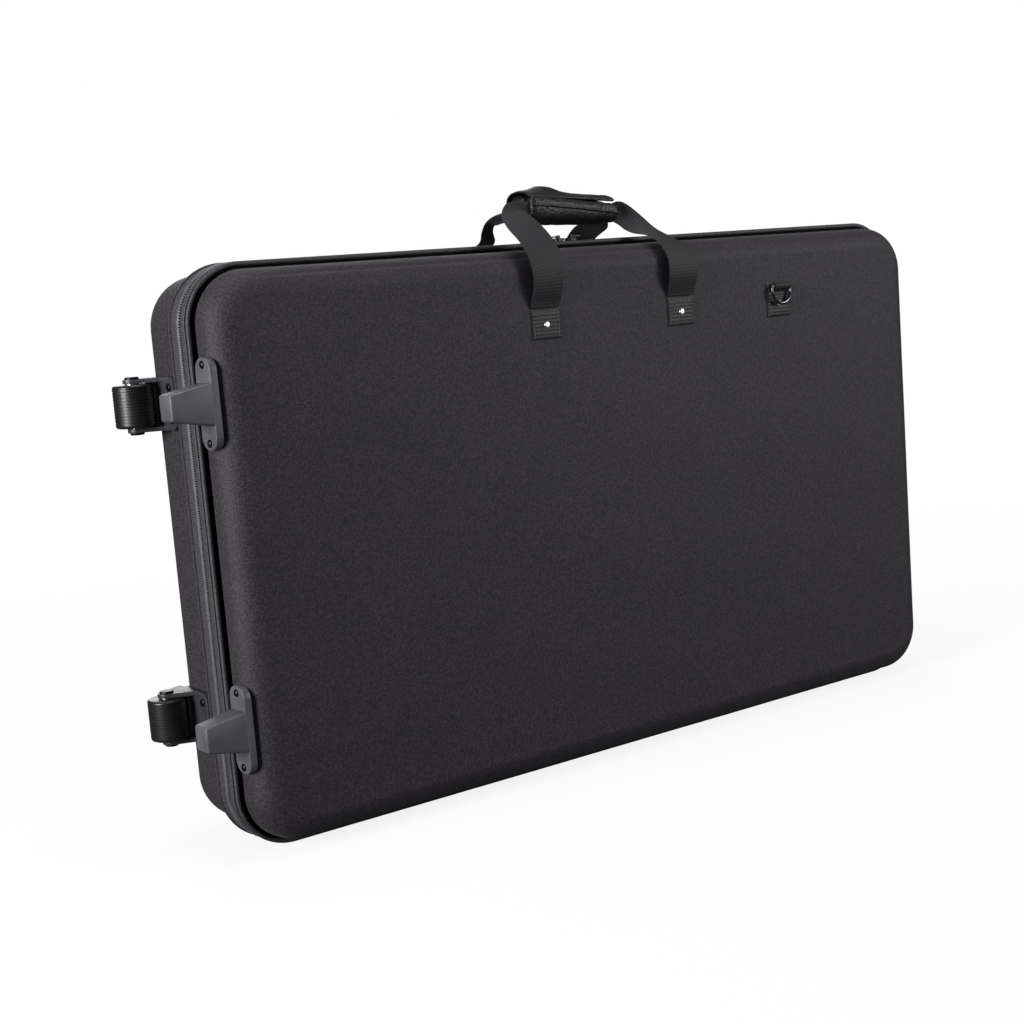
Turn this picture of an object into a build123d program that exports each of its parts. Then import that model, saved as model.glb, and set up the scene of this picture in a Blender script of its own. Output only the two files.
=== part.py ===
from build123d import *
import os

os.makedirs("parts", exist_ok=True)

# Wheeled soft-shell case for a controller, standing on its long side.
# X runs along the case, Y from the lid to the base, Z up from the ground.
# The zip line is the plane y = 0, and the wheels are at the -X end.

# The two moulded shells
case_length = 974.0
case_height = 560.0
corner_radius = 53.0
lid_depth = 58.0
base_depth = 100.0
shell_wall = 6.0
lid_edge_radius = 26.0
base_edge_radius = 31.0
shell_draft = 1.7
lid_rim = 23.0
base_rim = 17.5

# The fabric band between the shells
band_proud = 8.0
piping_radius = 2.6
binding_radius = 1.8
gusset_sheet = 2.0
gusset_width = 8.3
groove_width = 1.8
liner_sheet = 2.4
liner_reach = 8.0
fabric_gap = 0.6
seam_gap = 0.2
tape_sheet = 1.4
coil_width = 2.6
coil_height = 2.6
zip_end_inset = 60.0
hinge_sheet = 1.6

# Webbing handles, patches and rivets
webbing_width = 38.0
webbing_sheet = 1.8
handle_half_spacing = 97.0
patch_width = 39.0
patch_height = 31.0
patch_sheet = 1.6
patch_below_top = 94.5
rivet_radius = 3.6
rivet_height = 2.0
rivet_above_patch_foot = 15.0
strap_root_rise = 2.2
strap_root_gap = 1.1
strap_bulge = 11.0
strap_lift = 33.0
strap_lean = 4.0
strap_lean_drop = 6.0
strap_lean_share = 0.3
strap_draw_left = -6.0
strap_draw_right = 18.0
strap_reach = 0.35
strap_clear = 16.0

# The padded grip over the handles
grip_length = 132.0
grip_shift = -12.0
grip_above_band = 20.0
roll_width = 14.0
roll_height = 20.0
pad_width = 29.0
pad_height = 25.0
grip_split = -9.5
grip_gap = 0.8
grip_roundness = 0.45
grip_end_radius = 2.0
fold_width = 14.0
fold_sheet = 6.0
flap_sheet = 3.0
flap_length = 128.0
flap_overhang = 6.0
flap_gap = 0.8
flap_droop = 2.0

# D-rings for a shoulder strap
ring_x = 254.0
ring_patch_below_top = 96.0
ring_patch_height = 40.0
ring_rod_radius = 2.0
ring_width = 34.0
ring_drop = 22.0
ring_sleeve_radius = 4.6
ring_sleeve_length = 24.0
running_gap = 0.05

# Feet on the wheel end, screwed to the lid
foot_half_spacing = 157.0
standoff = 47.0
foot_plate_height = 87.0
foot_plate_depth = 27.0
foot_plate_sheet = 5.0
foot_screw_spacing = 74.0
foot_ear_radius = 12.0
arm_root_height = 41.0
arm_end_height = 24.0
arm_root_depth = 26.0
arm_end_depth = 22.0
arm_edge_radius = 2.5

# Wheels and their brackets, screwed to the base
wheel_radius = 20.0
wheel_width = 42.0
wheel_y = 70.0
wheel_groove_count = 7
wheel_groove_depth = 1.2
wheel_groove_width = 1.6
wheel_shoulder = 2.5
axle_radius = 4.0
wheel_end_gap = 1.0
fork_sheet = 4.0
fork_end_radius = 9.0
fork_root_depth = 38.0
bracket_front = 26.0
bracket_sheet = 5.0
bracket_corner_radius = 10.0
axle_head_radius = 7.0
axle_head_height = 2.5
screw_head_radius = 4.0
screw_head_height = 1.8
screw_radius = 2.2

# Tow handle on the other end
tow_half_length = 85.0
tow_bow = 30.0
tow_y = 58.0
tow_patch_length = 34.0
tow_patch_margin = 4.0

# Zip sliders and their pull tabs
slider_meeting_x = -16.0
slider_length = 13.0
slider_width = 10.0
slider_height = 3.0
slider_pitch = 18.0
slider_gap = 0.3
bridge_height = 3.2
bridge_length = 4.0
bridge_width = 3.0
tab_length = 14.0
tab_width = 6.0
tab_sheet = 1.4
tab_pin_radius = 0.9
tab_pin_margin = 1.2
tab_corner_radius = 1.1
tab_slot_gap = 0.9
tab_side_gap = 0.3

# Foam inside
lid_foam_depth = 20.0
foam_side_gap = 4.0
glue_line = 0.2
cradle_front = 12.0
cradle_floor = 4.0
bay_length = 880.0
bay_height = 470.0
bay_corner_radius = 6.0
finger_relief_radius = 36.0
pocket_length = 620.0
pocket_height = 230.0
pocket_sheet = 2.4
pocket_hem = 12.0
pocket_corner_radius = 22.0

# Heights and faces worked out from the sizes above
mid_z = band_proud + case_height / 2
wall_x = case_length / 2
top_z = mid_z + case_height / 2
band_top = top_z + band_proud
bottom_run = wall_x - corner_radius - zip_end_inset
patch_bottom = top_z - patch_below_top
ring_patch_bottom = top_z - ring_patch_below_top
grip_bottom = band_top + grip_above_band


def lid_plane(distance):
    """Upright plane facing forward, this far in front of the zip line."""
    return Plane(origin=(0, -distance, mid_z), x_dir=(1, 0, 0), z_dir=(0, -1, 0))


def base_plane(distance):
    """Upright plane facing backward, this far behind the zip line."""
    return Plane(origin=(0, distance, mid_z), x_dir=(1, 0, 0), z_dir=(0, 1, 0))


def outline(grow, mode=Mode.ADD):
    """The rounded outline of the case, grown outward."""
    return RectangleRounded(
        case_length + 2 * grow, case_height + 2 * grow, corner_radius + grow, mode=mode
    )


def dome(plane_at, rim, depth, edge_radius, inset):
    """A drafted body from the rim to the face, with its face edge rounded."""
    with BuildPart() as body:
        with BuildSketch(plane_at(rim)):
            outline(-inset)
        extrude(amount=depth - rim - inset, taper=shell_draft)
        face_edges = body.faces().sort_by(lambda f: abs(f.center().Y))[-1].edges()
        fillet(face_edges, edge_radius - inset)
    return body.part


def band(plane_at, near, far, inner, outer):
    """A flat hoop round the case, between two distances from the zip line."""
    with BuildPart() as hoop:
        with BuildSketch(plane_at(near)):
            outline(outer)
            outline(inner, mode=Mode.SUBTRACT)
        extrude(amount=far - near)
    return hoop.part


def bead(plane_at, near, far, depth, radius):
    """A round-topped bead round the case, its crest level with the band."""
    with BuildPart() as cord:
        with BuildSketch(plane_at(near)):
            outline(band_proud)
            outline(band_proud - depth, mode=Mode.SUBTRACT)
        extrude(amount=far - near)
        crests = [e for f in cord.faces().filter_by(Axis.Y) for e in f.outer_wire().edges()]
        fillet(crests, radius)
    return cord.part


def save(part, name):
    """Label a finished piece and write it under its own name."""
    part.label = name
    export_step(part, f"parts/{name}.step")


def seams(plane_at, near, far, half_length, half_height, gap):
    """Thin upright and level cuts right through, where lengths of a hoop are joined."""
    with BuildPart() as cuts:
        with BuildSketch(plane_at(near)):
            with Locations((-half_length, 0), (half_length, 0)):
                Rectangle(gap, 2 * case_height)
            with Locations((0, -half_height), (0, half_height)):
                Rectangle(2 * case_length, gap)
        extrude(amount=far - near)
    return cuts.part


# Front shell, the lid: a drafted, round-edged tray open to the zip line
lid_outer = dome(lid_plane, lid_rim, lid_depth, lid_edge_radius, 0)
lid_inner = dome(lid_plane, lid_rim, lid_depth, lid_edge_radius, shell_wall)
with BuildPart() as front_shell:
    add(lid_outer)
    add(lid_inner, mode=Mode.SUBTRACT)
save(front_shell.part, "front_shell")

# Rear shell, the base: the same tray, deeper, with a flange that the zip tape is sewn to
base_outer = dome(base_plane, base_rim, base_depth, base_edge_radius, 0)
base_inner = dome(base_plane, base_rim, base_depth, base_edge_radius, shell_wall)
flange_front = base_rim - liner_sheet
flange_proud = band_proud - 2 * binding_radius
with BuildPart() as rear_shell:
    add(base_outer)
    add(base_inner, mode=Mode.SUBTRACT)
    add(band(base_plane, flange_front, base_rim, -shell_wall, flange_proud))
save(rear_shell.part, "rear_shell")

# Piping bead at the back of the dark groove beside the lid's rim
piping_front = lid_rim - groove_width
piping_back = piping_front - 2 * piping_radius
piping_depth = 2 * piping_radius
save(bead(lid_plane, piping_back, piping_front, piping_depth, 0.95 * piping_radius), "front_piping")

# Gusset, sewn from eight lengths: a liner inside the lid's wall, a web behind the piping and
# the flat outer strip
web_back = piping_back - liner_sheet
strip_back = piping_back - gusset_width
liner_outer = -shell_wall - fabric_gap
liner_inner = liner_outer - liner_sheet
strip_inner = band_proud - gusset_sheet
with BuildPart() as front_gusset:
    add(band(lid_plane, web_back, lid_rim + liner_reach, liner_inner, liner_outer))
    add(band(lid_plane, web_back, piping_back, liner_inner, strip_inner))
    add(band(lid_plane, strip_back, piping_back, strip_inner, band_proud))
    add(seams(lid_plane, 0, lid_depth, wall_x - corner_radius, case_height / 2 - corner_radius, seam_gap),
        mode=Mode.SUBTRACT)
save(front_gusset.part, "front_gusset")


def cut_for_hinge(near, far):
    """The stretch of the bottom run where the zip gives way to the hinge strip."""
    with BuildPart() as gap:
        with Locations((0, (near + far) / 2, band_proud)):
            Box(2 * bottom_run, abs(far - near), 2 * band_proud)
    return gap.part


# Zip tapes and coils, sewn round three sides and both lower corners
tape_outer = strip_inner
tape_inner = tape_outer - tape_sheet
lid_tape_far = strip_back + webbing_sheet
base_tape_far = flange_front
for side, plane_at, tape_far in (
    ("front", lid_plane, lid_tape_far),
    ("rear", base_plane, base_tape_far),
):
    sign = -1 if side == "front" else 1
    with BuildPart() as zip_tape:
        add(band(plane_at, coil_width, tape_far, tape_inner, tape_outer))
        add(cut_for_hinge(0, sign * base_depth), mode=Mode.SUBTRACT)
    save(zip_tape.part, side + "_zip_tape")
    with BuildPart() as zip_coil:
        add(band(plane_at, 0, coil_width, band_proud - coil_height, band_proud))
        add(cut_for_hinge(0, sign * base_depth), mode=Mode.SUBTRACT)
    save(zip_coil.part, side + "_zip_coil")

# Binding: the folded edge of the rear tape, a bead against the base's flange
save(
    bead(
        base_plane, flange_front, flange_front + 2 * binding_radius,
        2 * binding_radius, 0.95 * binding_radius,
    ),
    "rear_binding",
)

# Hinge strip: the fabric fold along the bottom, half on each side of the hinge line
for side, hinge_far in (("lid", -strip_back), ("base", flange_front)):
    with BuildPart() as hinge_strip:
        with Locations((0, hinge_far / 2, hinge_sheet / 2)):
            Box(2 * bottom_run, abs(hinge_far), hinge_sheet)
    save(hinge_strip.part, side + "_hinge_strip")

# Foam: a slab in the lid, and in the base a cradle of glued blocks round the controller's bay
foam_inset = shell_wall + foam_side_gap
lid_foam_front = lid_depth - shell_wall
lid_foam_back = lid_foam_front - lid_foam_depth
with BuildPart() as lid_foam:
    with BuildSketch(lid_plane(lid_foam_back)):
        outline(-foam_inset)
    extrude(amount=lid_foam_depth)
    fillet(lid_foam.faces().sort_by(Axis.Y)[0].edges(), 0.95 * lid_foam_depth)
save(lid_foam.part, "lid_foam")

cradle_back = base_depth - shell_wall
bay_back = cradle_back - cradle_floor
with BuildPart() as base_cradle:
    with BuildSketch(base_plane(cradle_front)):
        outline(-foam_inset)
    extrude(amount=cradle_back - cradle_front, taper=shell_draft)
    fillet(base_cradle.faces().sort_by(Axis.Y)[-1].edges(), base_edge_radius - shell_wall)
    with BuildSketch(base_plane(cradle_front)):
        RectangleRounded(bay_length, bay_height, bay_corner_radius)
        with Locations((-bay_length / 2, 0), (bay_length / 2, 0)):
            Circle(finger_relief_radius)
    extrude(amount=bay_back - cradle_front, mode=Mode.SUBTRACT)
    block_length = bay_length / 2 - bay_corner_radius
    block_height = bay_height / 2 - bay_corner_radius
    add(seams(base_plane, cradle_front, bay_back, block_length, block_height, glue_line),
        mode=Mode.SUBTRACT)
    with BuildSketch(base_plane(bay_back)):
        Rectangle(case_length, case_height)
    extrude(amount=glue_line, mode=Mode.SUBTRACT)
save(base_cradle.part, "base_cradle")

# Cable pocket on the lid's foam, with a thicker hem along its top
with BuildPart() as cable_pocket:
    with BuildSketch(lid_plane(lid_foam_back - pocket_sheet)):
        RectangleRounded(pocket_length, pocket_height, pocket_corner_radius)
    extrude(amount=pocket_sheet)
    with BuildSketch(lid_plane(lid_foam_back - 2 * pocket_sheet)):
        with Locations((0, pocket_height / 2 - pocket_hem / 2)):
            Rectangle(pocket_length - 2 * pocket_corner_radius, pocket_hem)
    extrude(amount=pocket_sheet)
save(cable_pocket.part, "cable_pocket")


def facing(x, y, z, direction):
    """A plane at a point, facing along an axis, with its local x level and its local y up."""
    level = (0, 1, 0) if abs(direction[0]) else (1, 0, 0)
    return Plane(origin=(x, y, z), x_dir=level, z_dir=direction)


def domed_heads(seats, radius, height, shank_radius=0, shank_length=0):
    """Domed fastener heads standing on their seats, each with a shank if it has one."""
    heads = []
    for seat in seats:
        with BuildPart() as head:
            with BuildSketch(seat):
                Circle(radius)
            extrude(amount=height)
            crown = head.faces().sort_by(Axis(seat.origin, seat.z_dir))[-1]
            fillet(crown.edges(), 0.8 * height)
            if shank_length:
                with BuildSketch(seat):
                    Circle(shank_radius)
                extrude(amount=-shank_length)
        heads.append(head.part)
    return Compound(children=heads)


# Carrying handles: patches, rivets and the two webbing loops
patch_top = patch_bottom + patch_height
rivet_z = patch_bottom + rivet_above_patch_foot
for side, face, sign in (("front", lid_depth, -1), ("rear", base_depth, 1)):
    for hand, along in (("left", -1), ("right", 1)):
        with BuildPart() as strap_patch:
            middle = patch_bottom + patch_height / 2
            with BuildSketch(facing(along * handle_half_spacing, sign * face, middle, (0, sign, 0))):
                RectangleRounded(patch_width, patch_height, patch_sheet)
            extrude(amount=patch_sheet)
        save(strap_patch.part, f"{side}_{hand}_strap_patch")

roll_y = grip_split - grip_gap - roll_width / 2
pad_y = grip_split + pad_width / 2
roll_z = grip_bottom + roll_height / 2
pad_z = grip_bottom + pad_height / 2


def carrying_strap(face, sign, grip_y, grip_z):
    """One webbing loop: a leg at each end and the folded stretch inside the grip."""
    out = sign * face
    root_y = out + sign * (strap_root_gap + webbing_sheet / 2)
    bulge_y = out + sign * strap_bulge
    lean_y = bulge_y - sign * strap_lean
    over_y = grip_y + strap_reach * (out - grip_y)
    with BuildPart() as strap:
        for hand, draw in ((-1, strap_draw_left), (1, strap_draw_right)):
            x = hand * handle_half_spacing
            lean_x = x - hand * strap_lean_share * draw
            over_x = x - hand * draw
            fold_x = grip_shift + hand * grip_length / 2
            level = (1, 0, 0)
            root = Plane((x, root_y, patch_top + strap_root_rise), level, (0, 0, 1))
            bulge = Plane((x, bulge_y, patch_top + strap_lift), level, (0, 0, 1))
            lean = Plane((lean_x, lean_y, top_z - strap_lean_drop), level, (0, -sign, 2))
            over = Plane((over_x, over_y, band_top + strap_clear), level, (0, -2 * sign, 1))
            fold = Plane((fold_x, grip_y, grip_z), (0, -sign * hand, 0), (-hand, 0, 0))
            for section in (root, bulge, lean, over):
                with BuildSketch(section):
                    Rectangle(webbing_width, webbing_sheet)
            with BuildSketch(fold):
                Rectangle(fold_sheet, fold_width)
            loft(ruled=True)
        with Locations((grip_shift, grip_y, grip_z)):
            Box(grip_length, fold_sheet, fold_width)
    return strap.part


save(carrying_strap(lid_depth, -1, roll_y, roll_z), "front_strap")
save(carrying_strap(base_depth, 1, pad_y, pad_z), "rear_strap")


def grip_sleeve(y, z, width, height):
    """Half of the padded grip, round the folded webbing."""
    with BuildPart() as sleeve:
        with BuildSketch(facing(grip_shift - grip_length / 2, y, z, (1, 0, 0))):
            RectangleRounded(width, height, grip_roundness * min(width, height))
        extrude(amount=grip_length)
        rims = [e for f in sleeve.faces().filter_by(Axis.X) for e in f.outer_wire().edges()]
        fillet(rims, grip_end_radius)
        with Locations((grip_shift, y, z)):
            Box(grip_length, fold_sheet, fold_width, mode=Mode.SUBTRACT)
    return sleeve.part


save(grip_sleeve(roll_y, roll_z, roll_width, roll_height), "front_grip_roll")
save(grip_sleeve(pad_y, pad_z, pad_width, pad_height), "rear_grip_pad")

# Grip flap: a sheet that wraps the pad from behind and ends over the front roll
pad_round = grip_roundness * min(pad_width, pad_height)
with BuildPart() as grip_flap:
    with BuildSketch(facing(grip_shift - flap_length / 2, pad_y, pad_z, (1, 0, 0))):
        skin = flap_gap + flap_sheet
        RectangleRounded(pad_width + 2 * skin, pad_height + 2 * skin, pad_round + skin)
        RectangleRounded(
            pad_width + 2 * flap_gap, pad_height + 2 * flap_gap, pad_round + flap_gap,
            mode=Mode.SUBTRACT,
        )
        with Locations((pad_width, pad_height)):
            Rectangle(2 * pad_width, 2 * pad_height, mode=Mode.INTERSECT)
        front_edge = grip_split - flap_overhang - pad_y
        rise = pad_height / 2 + flap_gap
        with BuildLine():
            Polyline(
                (0, rise), (0, rise + flap_sheet),
                (front_edge, rise + flap_sheet - flap_droop), (front_edge, rise - flap_droop),
                (0, rise),
            )
        make_face()
    extrude(amount=flap_length)
save(grip_flap.part, "grip_flap")

# D-rings: a tab with a sewn sleeve on each face, and the ring hanging in the sleeve
ring_z = ring_patch_bottom + ring_patch_height - ring_sleeve_radius
for side, face, sign in (("front", lid_depth, -1), ("rear", base_depth, 1)):
    x = -sign * ring_x
    sleeve_y = sign * (face + patch_sheet + ring_sleeve_radius)
    middle = ring_patch_bottom + ring_patch_height / 2
    with BuildPart() as ring_tab:
        with BuildSketch(facing(x, sign * face, middle, (0, sign, 0))):
            RectangleRounded(patch_width, ring_patch_height, patch_sheet)
        extrude(amount=patch_sheet)
        with BuildSketch(facing(x - ring_sleeve_length / 2, sleeve_y, ring_z, (1, 0, 0))):
            Circle(ring_sleeve_radius)
            with Locations((-sign * ring_sleeve_radius / 2, 0)):
                Rectangle(ring_sleeve_radius, 2 * ring_sleeve_radius)
        extrude(amount=ring_sleeve_length)
        with BuildSketch(facing(x - ring_sleeve_length / 2, sleeve_y, ring_z, (1, 0, 0))):
            Circle(ring_rod_radius + running_gap)
        extrude(amount=ring_sleeve_length, mode=Mode.SUBTRACT)
    save(ring_tab.part, side + "_ring_tab")
    with BuildPart() as d_ring:
        half = ring_width / 2 - ring_rod_radius
        drop = ring_drop - ring_rod_radius
        with BuildLine(Plane(origin=(x, sleeve_y, ring_z), x_dir=(1, 0, 0), z_dir=(0, -1, 0))):
            FilletPolyline(
                (0, 0), (half, 0), (half, -drop), (0, -drop),
                radius=[1.2 * ring_rod_radius, 0.95 * half],
            )
        with BuildSketch(facing(x, sleeve_y, ring_z, (1, 0, 0))):
            Circle(ring_rod_radius)
        sweep()
        mirror(about=Plane.YZ.offset(x))
    save(d_ring.part, side + "_d_ring")

# Rivets through the patches, one group on the lid and one on the base
ring_rivet_z = ring_patch_bottom + rivet_above_patch_foot
for group, face, sign in (("lid_rivets", lid_depth, -1), ("base_rivets", base_depth, 1)):
    rivet_seats = [
        facing(rx, sign * (face + patch_sheet), rz, (0, sign, 0))
        for rx, rz in (
            (-handle_half_spacing, rivet_z),
            (handle_half_spacing, rivet_z),
            (-sign * ring_x, ring_rivet_z),
        )
    ]
    save(domed_heads(rivet_seats, rivet_radius, rivet_height), group)

# Feet: a plate with two screw ears that wraps the lid's edge, and a tapered arm
foot_y = -lid_rim - foot_plate_depth / 2
foot_face = -wall_x - foot_plate_sheet
foot_end = -wall_x - standoff
foot_screw_y = -lid_rim - foot_ear_radius
arm_front = -lid_rim - foot_plate_depth
foot_levels = (("upper", mid_z + foot_half_spacing), ("lower", mid_z - foot_half_spacing))
for level, z in foot_levels:
    with BuildPart() as foot:
        with BuildSketch(facing(foot_face, foot_y, z, (1, 0, 0))):
            RectangleRounded(foot_plate_depth, foot_plate_height, foot_ear_radius)
        extrude(amount=foot_plate_sheet + lid_edge_radius)
        add(lid_outer, mode=Mode.SUBTRACT)
        screw_at = facing(foot_face, foot_screw_y, z, (1, 0, 0))
        with BuildSketch(screw_at):
            with Locations((0, foot_screw_spacing / 2), (0, -foot_screw_spacing / 2)):
                Circle(screw_radius)
        extrude(amount=2 * foot_plate_sheet, mode=Mode.SUBTRACT)
        with BuildSketch(facing(foot_face, arm_front + arm_root_depth / 2, z, (1, 0, 0))):
            RectangleRounded(arm_root_depth, arm_root_height, arm_edge_radius)
        with BuildSketch(facing(foot_end, arm_front + arm_end_depth / 2, z, (1, 0, 0))):
            RectangleRounded(arm_end_depth, arm_end_height, arm_edge_radius)
        loft()
        fillet(foot.faces().sort_by(Axis.X)[0].edges(), 0.8 * arm_edge_radius)
    save(foot.part, level + "_foot")

foot_screw_seats = [
    facing(foot_face, foot_screw_y, z + dz, (-1, 0, 0))
    for level, z in foot_levels
    for dz in (-foot_screw_spacing / 2, foot_screw_spacing / 2)
]
save(
    domed_heads(
        foot_screw_seats, screw_head_radius, screw_head_height, screw_radius, foot_plate_sheet
    ),
    "foot_screws",
)

# Wheel brackets: a base plate on the base's end wall with a fork for the wheel
bracket_face = -wall_x - bracket_sheet
axle_x = -wall_x - standoff + wheel_radius
fork_inside = wheel_width / 2 + wheel_end_gap
bracket_height = 2 * (fork_inside + fork_sheet)
bracket_back = wheel_y + fork_root_depth / 2
bracket_depth = bracket_back - bracket_front
bracket_screw_y = bracket_front + bracket_corner_radius
bracket_screw_z = bracket_height / 2 - bracket_corner_radius
for level, z in foot_levels:
    with BuildPart() as bracket:
        plate_y = (bracket_front + bracket_back) / 2
        with BuildSketch(facing(bracket_face, plate_y, z, (1, 0, 0))):
            RectangleRounded(bracket_depth, bracket_height, bracket_corner_radius)
        extrude(amount=bracket_sheet + base_edge_radius)
        add(base_outer, mode=Mode.SUBTRACT)
        with BuildSketch(facing(bracket_face, bracket_screw_y, z, (1, 0, 0))):
            with Locations((0, bracket_screw_z), (0, -bracket_screw_z)):
                Circle(screw_radius)
        extrude(amount=2 * bracket_sheet, mode=Mode.SUBTRACT)
        for arm_z in (z - fork_inside - fork_sheet, z + fork_inside):
            with BuildSketch(Plane.XY.offset(arm_z)):
                with Locations((axle_x, wheel_y)):
                    Circle(fork_end_radius)
                with Locations((bracket_face + bracket_sheet / 4, wheel_y)):
                    Rectangle(bracket_sheet / 2, fork_root_depth)
                make_hull()
                with Locations((axle_x, wheel_y)):
                    Circle(axle_radius, mode=Mode.SUBTRACT)
            extrude(amount=fork_sheet)
    save(bracket.part, level + "_wheel_bracket")

    with BuildPart() as axle:
        with Locations((axle_x, wheel_y, z)):
            Cylinder(axle_radius, bracket_height)
            with Locations(
                (0, 0, bracket_height / 2 + axle_head_height / 2),
                (0, 0, -bracket_height / 2 - axle_head_height / 2),
            ):
                Cylinder(axle_head_radius, axle_head_height)
        fillet(axle.faces().sort_by(Axis.Z)[-1].edges(), 0.7 * axle_head_height)
        fillet(axle.faces().sort_by(Axis.Z)[0].edges(), 0.7 * axle_head_height)
    save(axle.part, level + "_axle")

    # The roller, turned with even grooves round its tread
    with BuildPart() as wheel:
        bore = axle_radius + running_gap
        with BuildSketch(Plane(origin=(axle_x, wheel_y, z), x_dir=(1, 0, 0), z_dir=(0, -1, 0))):
            with Locations(((bore + wheel_radius) / 2, 0)):
                Rectangle(wheel_radius - bore, wheel_width)
            chamfer(vertices().group_by(Axis.X)[-1], wheel_shoulder)
            pitch = (wheel_width - 2 * wheel_shoulder) / wheel_groove_count
            first = -pitch * (wheel_groove_count - 1) / 2
            with Locations([(wheel_radius, first + pitch * i) for i in range(wheel_groove_count)]):
                Rectangle(2 * wheel_groove_depth, wheel_groove_width, mode=Mode.SUBTRACT)
        revolve(axis=Axis((axle_x, wheel_y, z), (0, 0, 1)))
    save(wheel.part, level + "_wheel")

bracket_screw_seats = [
    facing(bracket_face, bracket_screw_y, z + dz, (-1, 0, 0))
    for level, z in foot_levels
    for dz in (-bracket_screw_z, bracket_screw_z)
]
save(
    domed_heads(
        bracket_screw_seats, screw_head_radius, screw_head_height, screw_radius, bracket_sheet
    ),
    "bracket_screws",
)

# Tow handle on the other end: a bowed strip of webbing on two patches
tow_seat = wall_x + patch_sheet
tow_x = tow_seat + webbing_sheet / 2
tow_rivet_z = tow_half_length - tow_patch_length / 2
tow_rise = tow_half_length - tow_patch_length - tow_patch_margin
tow_side = Plane(origin=(0, tow_y + webbing_width / 2, mid_z), x_dir=(1, 0, 0), z_dir=(0, -1, 0))
with BuildPart() as tow_handle:
    with BuildSketch(tow_side):
        with BuildLine():
            FilletPolyline(
                (tow_x, -tow_half_length),
                (tow_x, -tow_rise),
                (tow_x + tow_bow, -tow_half_length / 3),
                (tow_x + tow_bow, tow_half_length / 3),
                (tow_x, tow_rise),
                (tow_x, tow_half_length),
                radius=tow_bow / 2,
            )
        trace(line_width=webbing_sheet)
    extrude(amount=webbing_width)
save(tow_handle.part, "tow_handle")

for hand, along in (("upper", 1), ("lower", -1)):
    with BuildPart() as tow_patch:
        with BuildSketch(facing(tow_seat, tow_y, mid_z + along * tow_rivet_z, (1, 0, 0))):
            RectangleRounded(patch_width, tow_patch_length, patch_sheet)
        extrude(amount=-2 * shell_wall)
        add(base_outer, mode=Mode.SUBTRACT)
    save(tow_patch.part, hand + "_tow_patch")

tow_rivet_seats = [
    facing(tow_seat + webbing_sheet, tow_y, mid_z + along * tow_rivet_z, (1, 0, 0))
    for along in (-1, 1)
]
save(domed_heads(tow_rivet_seats, rivet_radius, rivet_height), "tow_rivets")

# Zip sliders on the top run, each with a bridge and a pull tab pinned through it
slider_floor = band_top + slider_gap
slider_top = slider_floor + slider_height
pin_z = slider_top + bridge_height / 2
for hand, along in (("left", -1), ("right", 1)):
    x = slider_meeting_x + along * slider_pitch / 2
    with BuildPart() as slider:
        with BuildSketch(Plane.XY.offset(slider_floor)):
            with Locations((x, 0)):
                RectangleRounded(slider_length, slider_width, slider_width / 3)
        extrude(amount=slider_height)
        fillet(slider.faces().sort_by(Axis.Z)[-1].edges(), slider_height / 4)
        with BuildSketch(Plane.XY.offset(slider_top - slider_height / 4)):
            with Locations((x, 0)):
                Rectangle(bridge_length, bridge_width)
        extrude(amount=bridge_height + slider_height / 4)
        with Locations(Location((x, 0, pin_z), (90, 0, 0))):
            Cylinder(tab_pin_radius + running_gap, 2 * bridge_width, mode=Mode.SUBTRACT)
    save(slider.part, hand + "_slider")

    with BuildPart() as pull_tab:
        slot_length = bridge_length + 2 * tab_slot_gap
        with BuildSketch(Plane.XY.offset(pin_z - tab_sheet / 2)):
            with Locations((x + along * (tab_length / 2 - tab_pin_margin), 0)):
                RectangleRounded(tab_length, tab_width, tab_corner_radius)
            with Locations((x, 0)):
                Rectangle(slot_length, bridge_width + 2 * tab_side_gap, mode=Mode.SUBTRACT)
        extrude(amount=tab_sheet)
        with Locations(Location((x, 0, pin_z), (90, 0, 0))):
            Cylinder(tab_pin_radius, tab_width - 2 * tab_side_gap)
    save(pull_tab.part, hand + "_pull_tab")
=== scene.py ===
import math

import bmesh
import bpy
from mathutils import Matrix, Vector, noise


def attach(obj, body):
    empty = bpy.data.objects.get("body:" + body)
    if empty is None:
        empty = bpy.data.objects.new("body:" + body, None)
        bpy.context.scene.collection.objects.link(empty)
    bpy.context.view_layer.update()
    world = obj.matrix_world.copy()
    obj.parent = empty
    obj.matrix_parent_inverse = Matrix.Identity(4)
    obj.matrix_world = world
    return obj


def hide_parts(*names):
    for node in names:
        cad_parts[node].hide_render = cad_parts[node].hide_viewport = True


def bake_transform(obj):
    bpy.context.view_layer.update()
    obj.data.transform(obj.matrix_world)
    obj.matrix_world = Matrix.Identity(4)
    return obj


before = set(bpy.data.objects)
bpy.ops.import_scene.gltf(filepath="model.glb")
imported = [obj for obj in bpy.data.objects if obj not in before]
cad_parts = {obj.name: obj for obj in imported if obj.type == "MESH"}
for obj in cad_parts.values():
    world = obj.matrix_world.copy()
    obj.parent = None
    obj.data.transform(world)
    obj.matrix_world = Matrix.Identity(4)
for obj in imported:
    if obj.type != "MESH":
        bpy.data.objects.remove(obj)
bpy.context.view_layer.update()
bpy.ops.object.select_all(action="DESELECT")

MM = 0.001


# Camera: a portrait lens at the photograph's place, looking down a little on the
# case from its wheel end. The shift puts the optical axis where the photograph has it.
FOCAL_PIXELS, AXIS_X, AXIS_Y, FRAME_PIXELS = 1695.85, 500.234, 548.572, 1024
YAW, PITCH, ROLL = -0.6339, -0.1519, 0.0798
EYE = Vector((-1.22086, -1.47398, 0.53034))

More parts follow.
